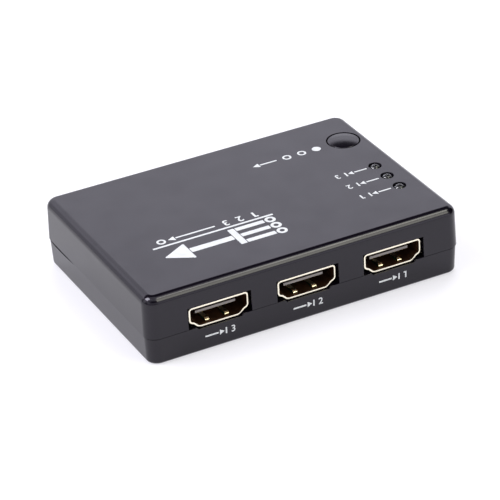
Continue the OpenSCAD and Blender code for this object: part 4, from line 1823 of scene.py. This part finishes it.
@dataclass
class Studio:
    """A pale floor, soft light and the camera at the photograph's angle."""

    eye: Point = (-0.2348663, -0.4873832, 0.3134475)
    yaw: float = 0.4485
    pitch: float = 0.5194
    roll: float = -0.0585
    lens: float = 191.81
    sensor: float = 36.0
    clip: Ring = (0.01, 50.0)
    floor_size: float = 6.0
    glow: float = 0.55
    glow_tint: Colour = (0.985, 0.972, 1.035)
    lobes: tuple[SkyLobe, ...] = (
        SkyLobe(144.0, 4.0, 1.5), SkyLobe(288.0, 4.0, 0.5), SkyLobe(288.0, 18.0, 0.9),
        SkyLobe(252.0, 32.0, 1.0), SkyLobe(288.0, 32.0, 1.0), SkyLobe(120.0, 65.0, 0.38))
    panels: tuple[SkyPanel, ...] = (
        SkyPanel(15.0, 0.0, 24.0, 1.08, half=60.0), SkyPanel(15.0, 24.0, 35.5, 1.72, half=60.0),
        SkyPanel(-8.0, 35.5, 41.0, 1.4, half=20.0), SkyPanel(200.0, 4.0, 26.0, 0.7, half=55.0),
        SkyPanel(120.0, 54.0, 66.0, 8.0, Tint.WARM), SkyPanel(150.0, 30.0, 42.0, 5.0, Tint.WARM),
        SkyPanel(150.0, 42.0, 54.0, 4.2, Tint.WARM), SkyPanel(150.0, 54.0, 66.0, 1.4, Tint.WARM))
    boxes: tuple[SoftBox, ...] = (
        SoftBox(282.0, 53.0, 11.4, size=0.28), SoftBox(206.0, 75.0, 0.9, distance=0.8, size=0.8),
        SoftBox(32.0, 44.0, 4.3, distance=0.8, size=0.6, floor_only=True))

    def camera(self) -> None:
        """Place the camera and make it the scene's own."""
        forward = towards(math.degrees(self.yaw), -math.degrees(self.pitch))
        right = forward.cross(Vector(UP)).normalized()
        up = right.cross(forward)
        turned = right * math.cos(self.roll) + up * math.sin(self.roll)
        above = up * math.cos(self.roll) - right * math.sin(self.roll)
        bpy.ops.object.camera_add()
        camera = bpy.context.object
        camera.name = "camera"
        camera.data.lens = self.lens
        camera.data.sensor_width = self.sensor
        camera.data.clip_start, camera.data.clip_end = self.clip
        axes = Matrix((turned, above, -forward)).transposed().to_4x4()
        camera.matrix_world = Matrix.Translation(self.eye) @ axes
        bpy.context.scene.camera = camera

    def floor(self) -> Object:
        """Lay the pale floor, which has a little light of its own.

        Returns:
            The floor.
        """
        Bench.rest()
        bpy.ops.mesh.primitive_plane_add(size=self.floor_size, location=(0.0, 0.0, 0.0))
        floor = Bench.settle("studio_floor")
        Bench.faces(floor)
        bpy.ops.mesh.subdivide(number_cuts=3)
        Bench.rest()
        material = PAPER.material()
        shader = material.node_tree.nodes["Principled BSDF"]
        shader.inputs["Emission Color"].default_value = (*self.glow_tint, 1.0)
        shader.inputs["Emission Strength"].default_value = self.glow
        floor.data.materials.append(material)
        return floor

    def sky(self) -> None:
        """Surround the floor with soft patches and panels of light in their tints."""
        world = bpy.data.worlds.new("studio")
        world.use_nodes = True
        bpy.context.scene.world = world
        tree = world.node_tree
        tree.nodes.remove(tree.nodes["Background"])
        wires = Wiring(tree, tree.nodes.new("ShaderNodeTexCoord").outputs["Generated"])
        rise = wires.add("SeparateXYZ", {0: wires.place}).outputs["Z"]
        flat = wires.vector("MULTIPLY", wires.place, (1.0, 1.0, 0.0)).outputs["Vector"]
        across = wires.vector("NORMALIZE", flat).outputs["Vector"]
        light = None
        for tint in Tint:
            values = [lobe.light(wires) for lobe in self.lobes if lobe.tint is tint]
            values += [panel.light(wires, rise, across) for panel in self.panels if panel.tint is tint]
            total = values[0]
            for value in values[1:]:
                total = wires.math("ADD", total, value)
            patch = wires.add("Background", {"Color": (*tint.value, 1.0), "Strength": total}).outputs[0]
            light = patch if light is None else wires.add("AddShader", {0: light, 1: patch}).outputs[0]
        wires.feed(tree.nodes["World Output"], "Surface", light)

    def build(self) -> None:
        """Set up the whole studio."""
        bpy.context.scene.view_settings.view_transform = "Standard"
        self.camera()
        floor = self.floor()
        self.sky()
        for box in self.boxes:
            box.hang(floor)


def main() -> None:
    """Build the studio and every sub-assembly, and report each piece."""
    logging.basicConfig(level=logging.INFO, format="%(message)s")
    Studio().build()
    dress_nodes()
    assemblies: list[SubAssembly] = [
        UpperCover(), LowerCover(), CaseScrews(), VideoSockets(), SelectButton(), SnapDome(),
        IndicatorLamps(), BackJacks(), FacePrints()]
    for assembly in assemblies:
        assembly.build()
        assembly.report()


if __name__ == "__main__":
    main()
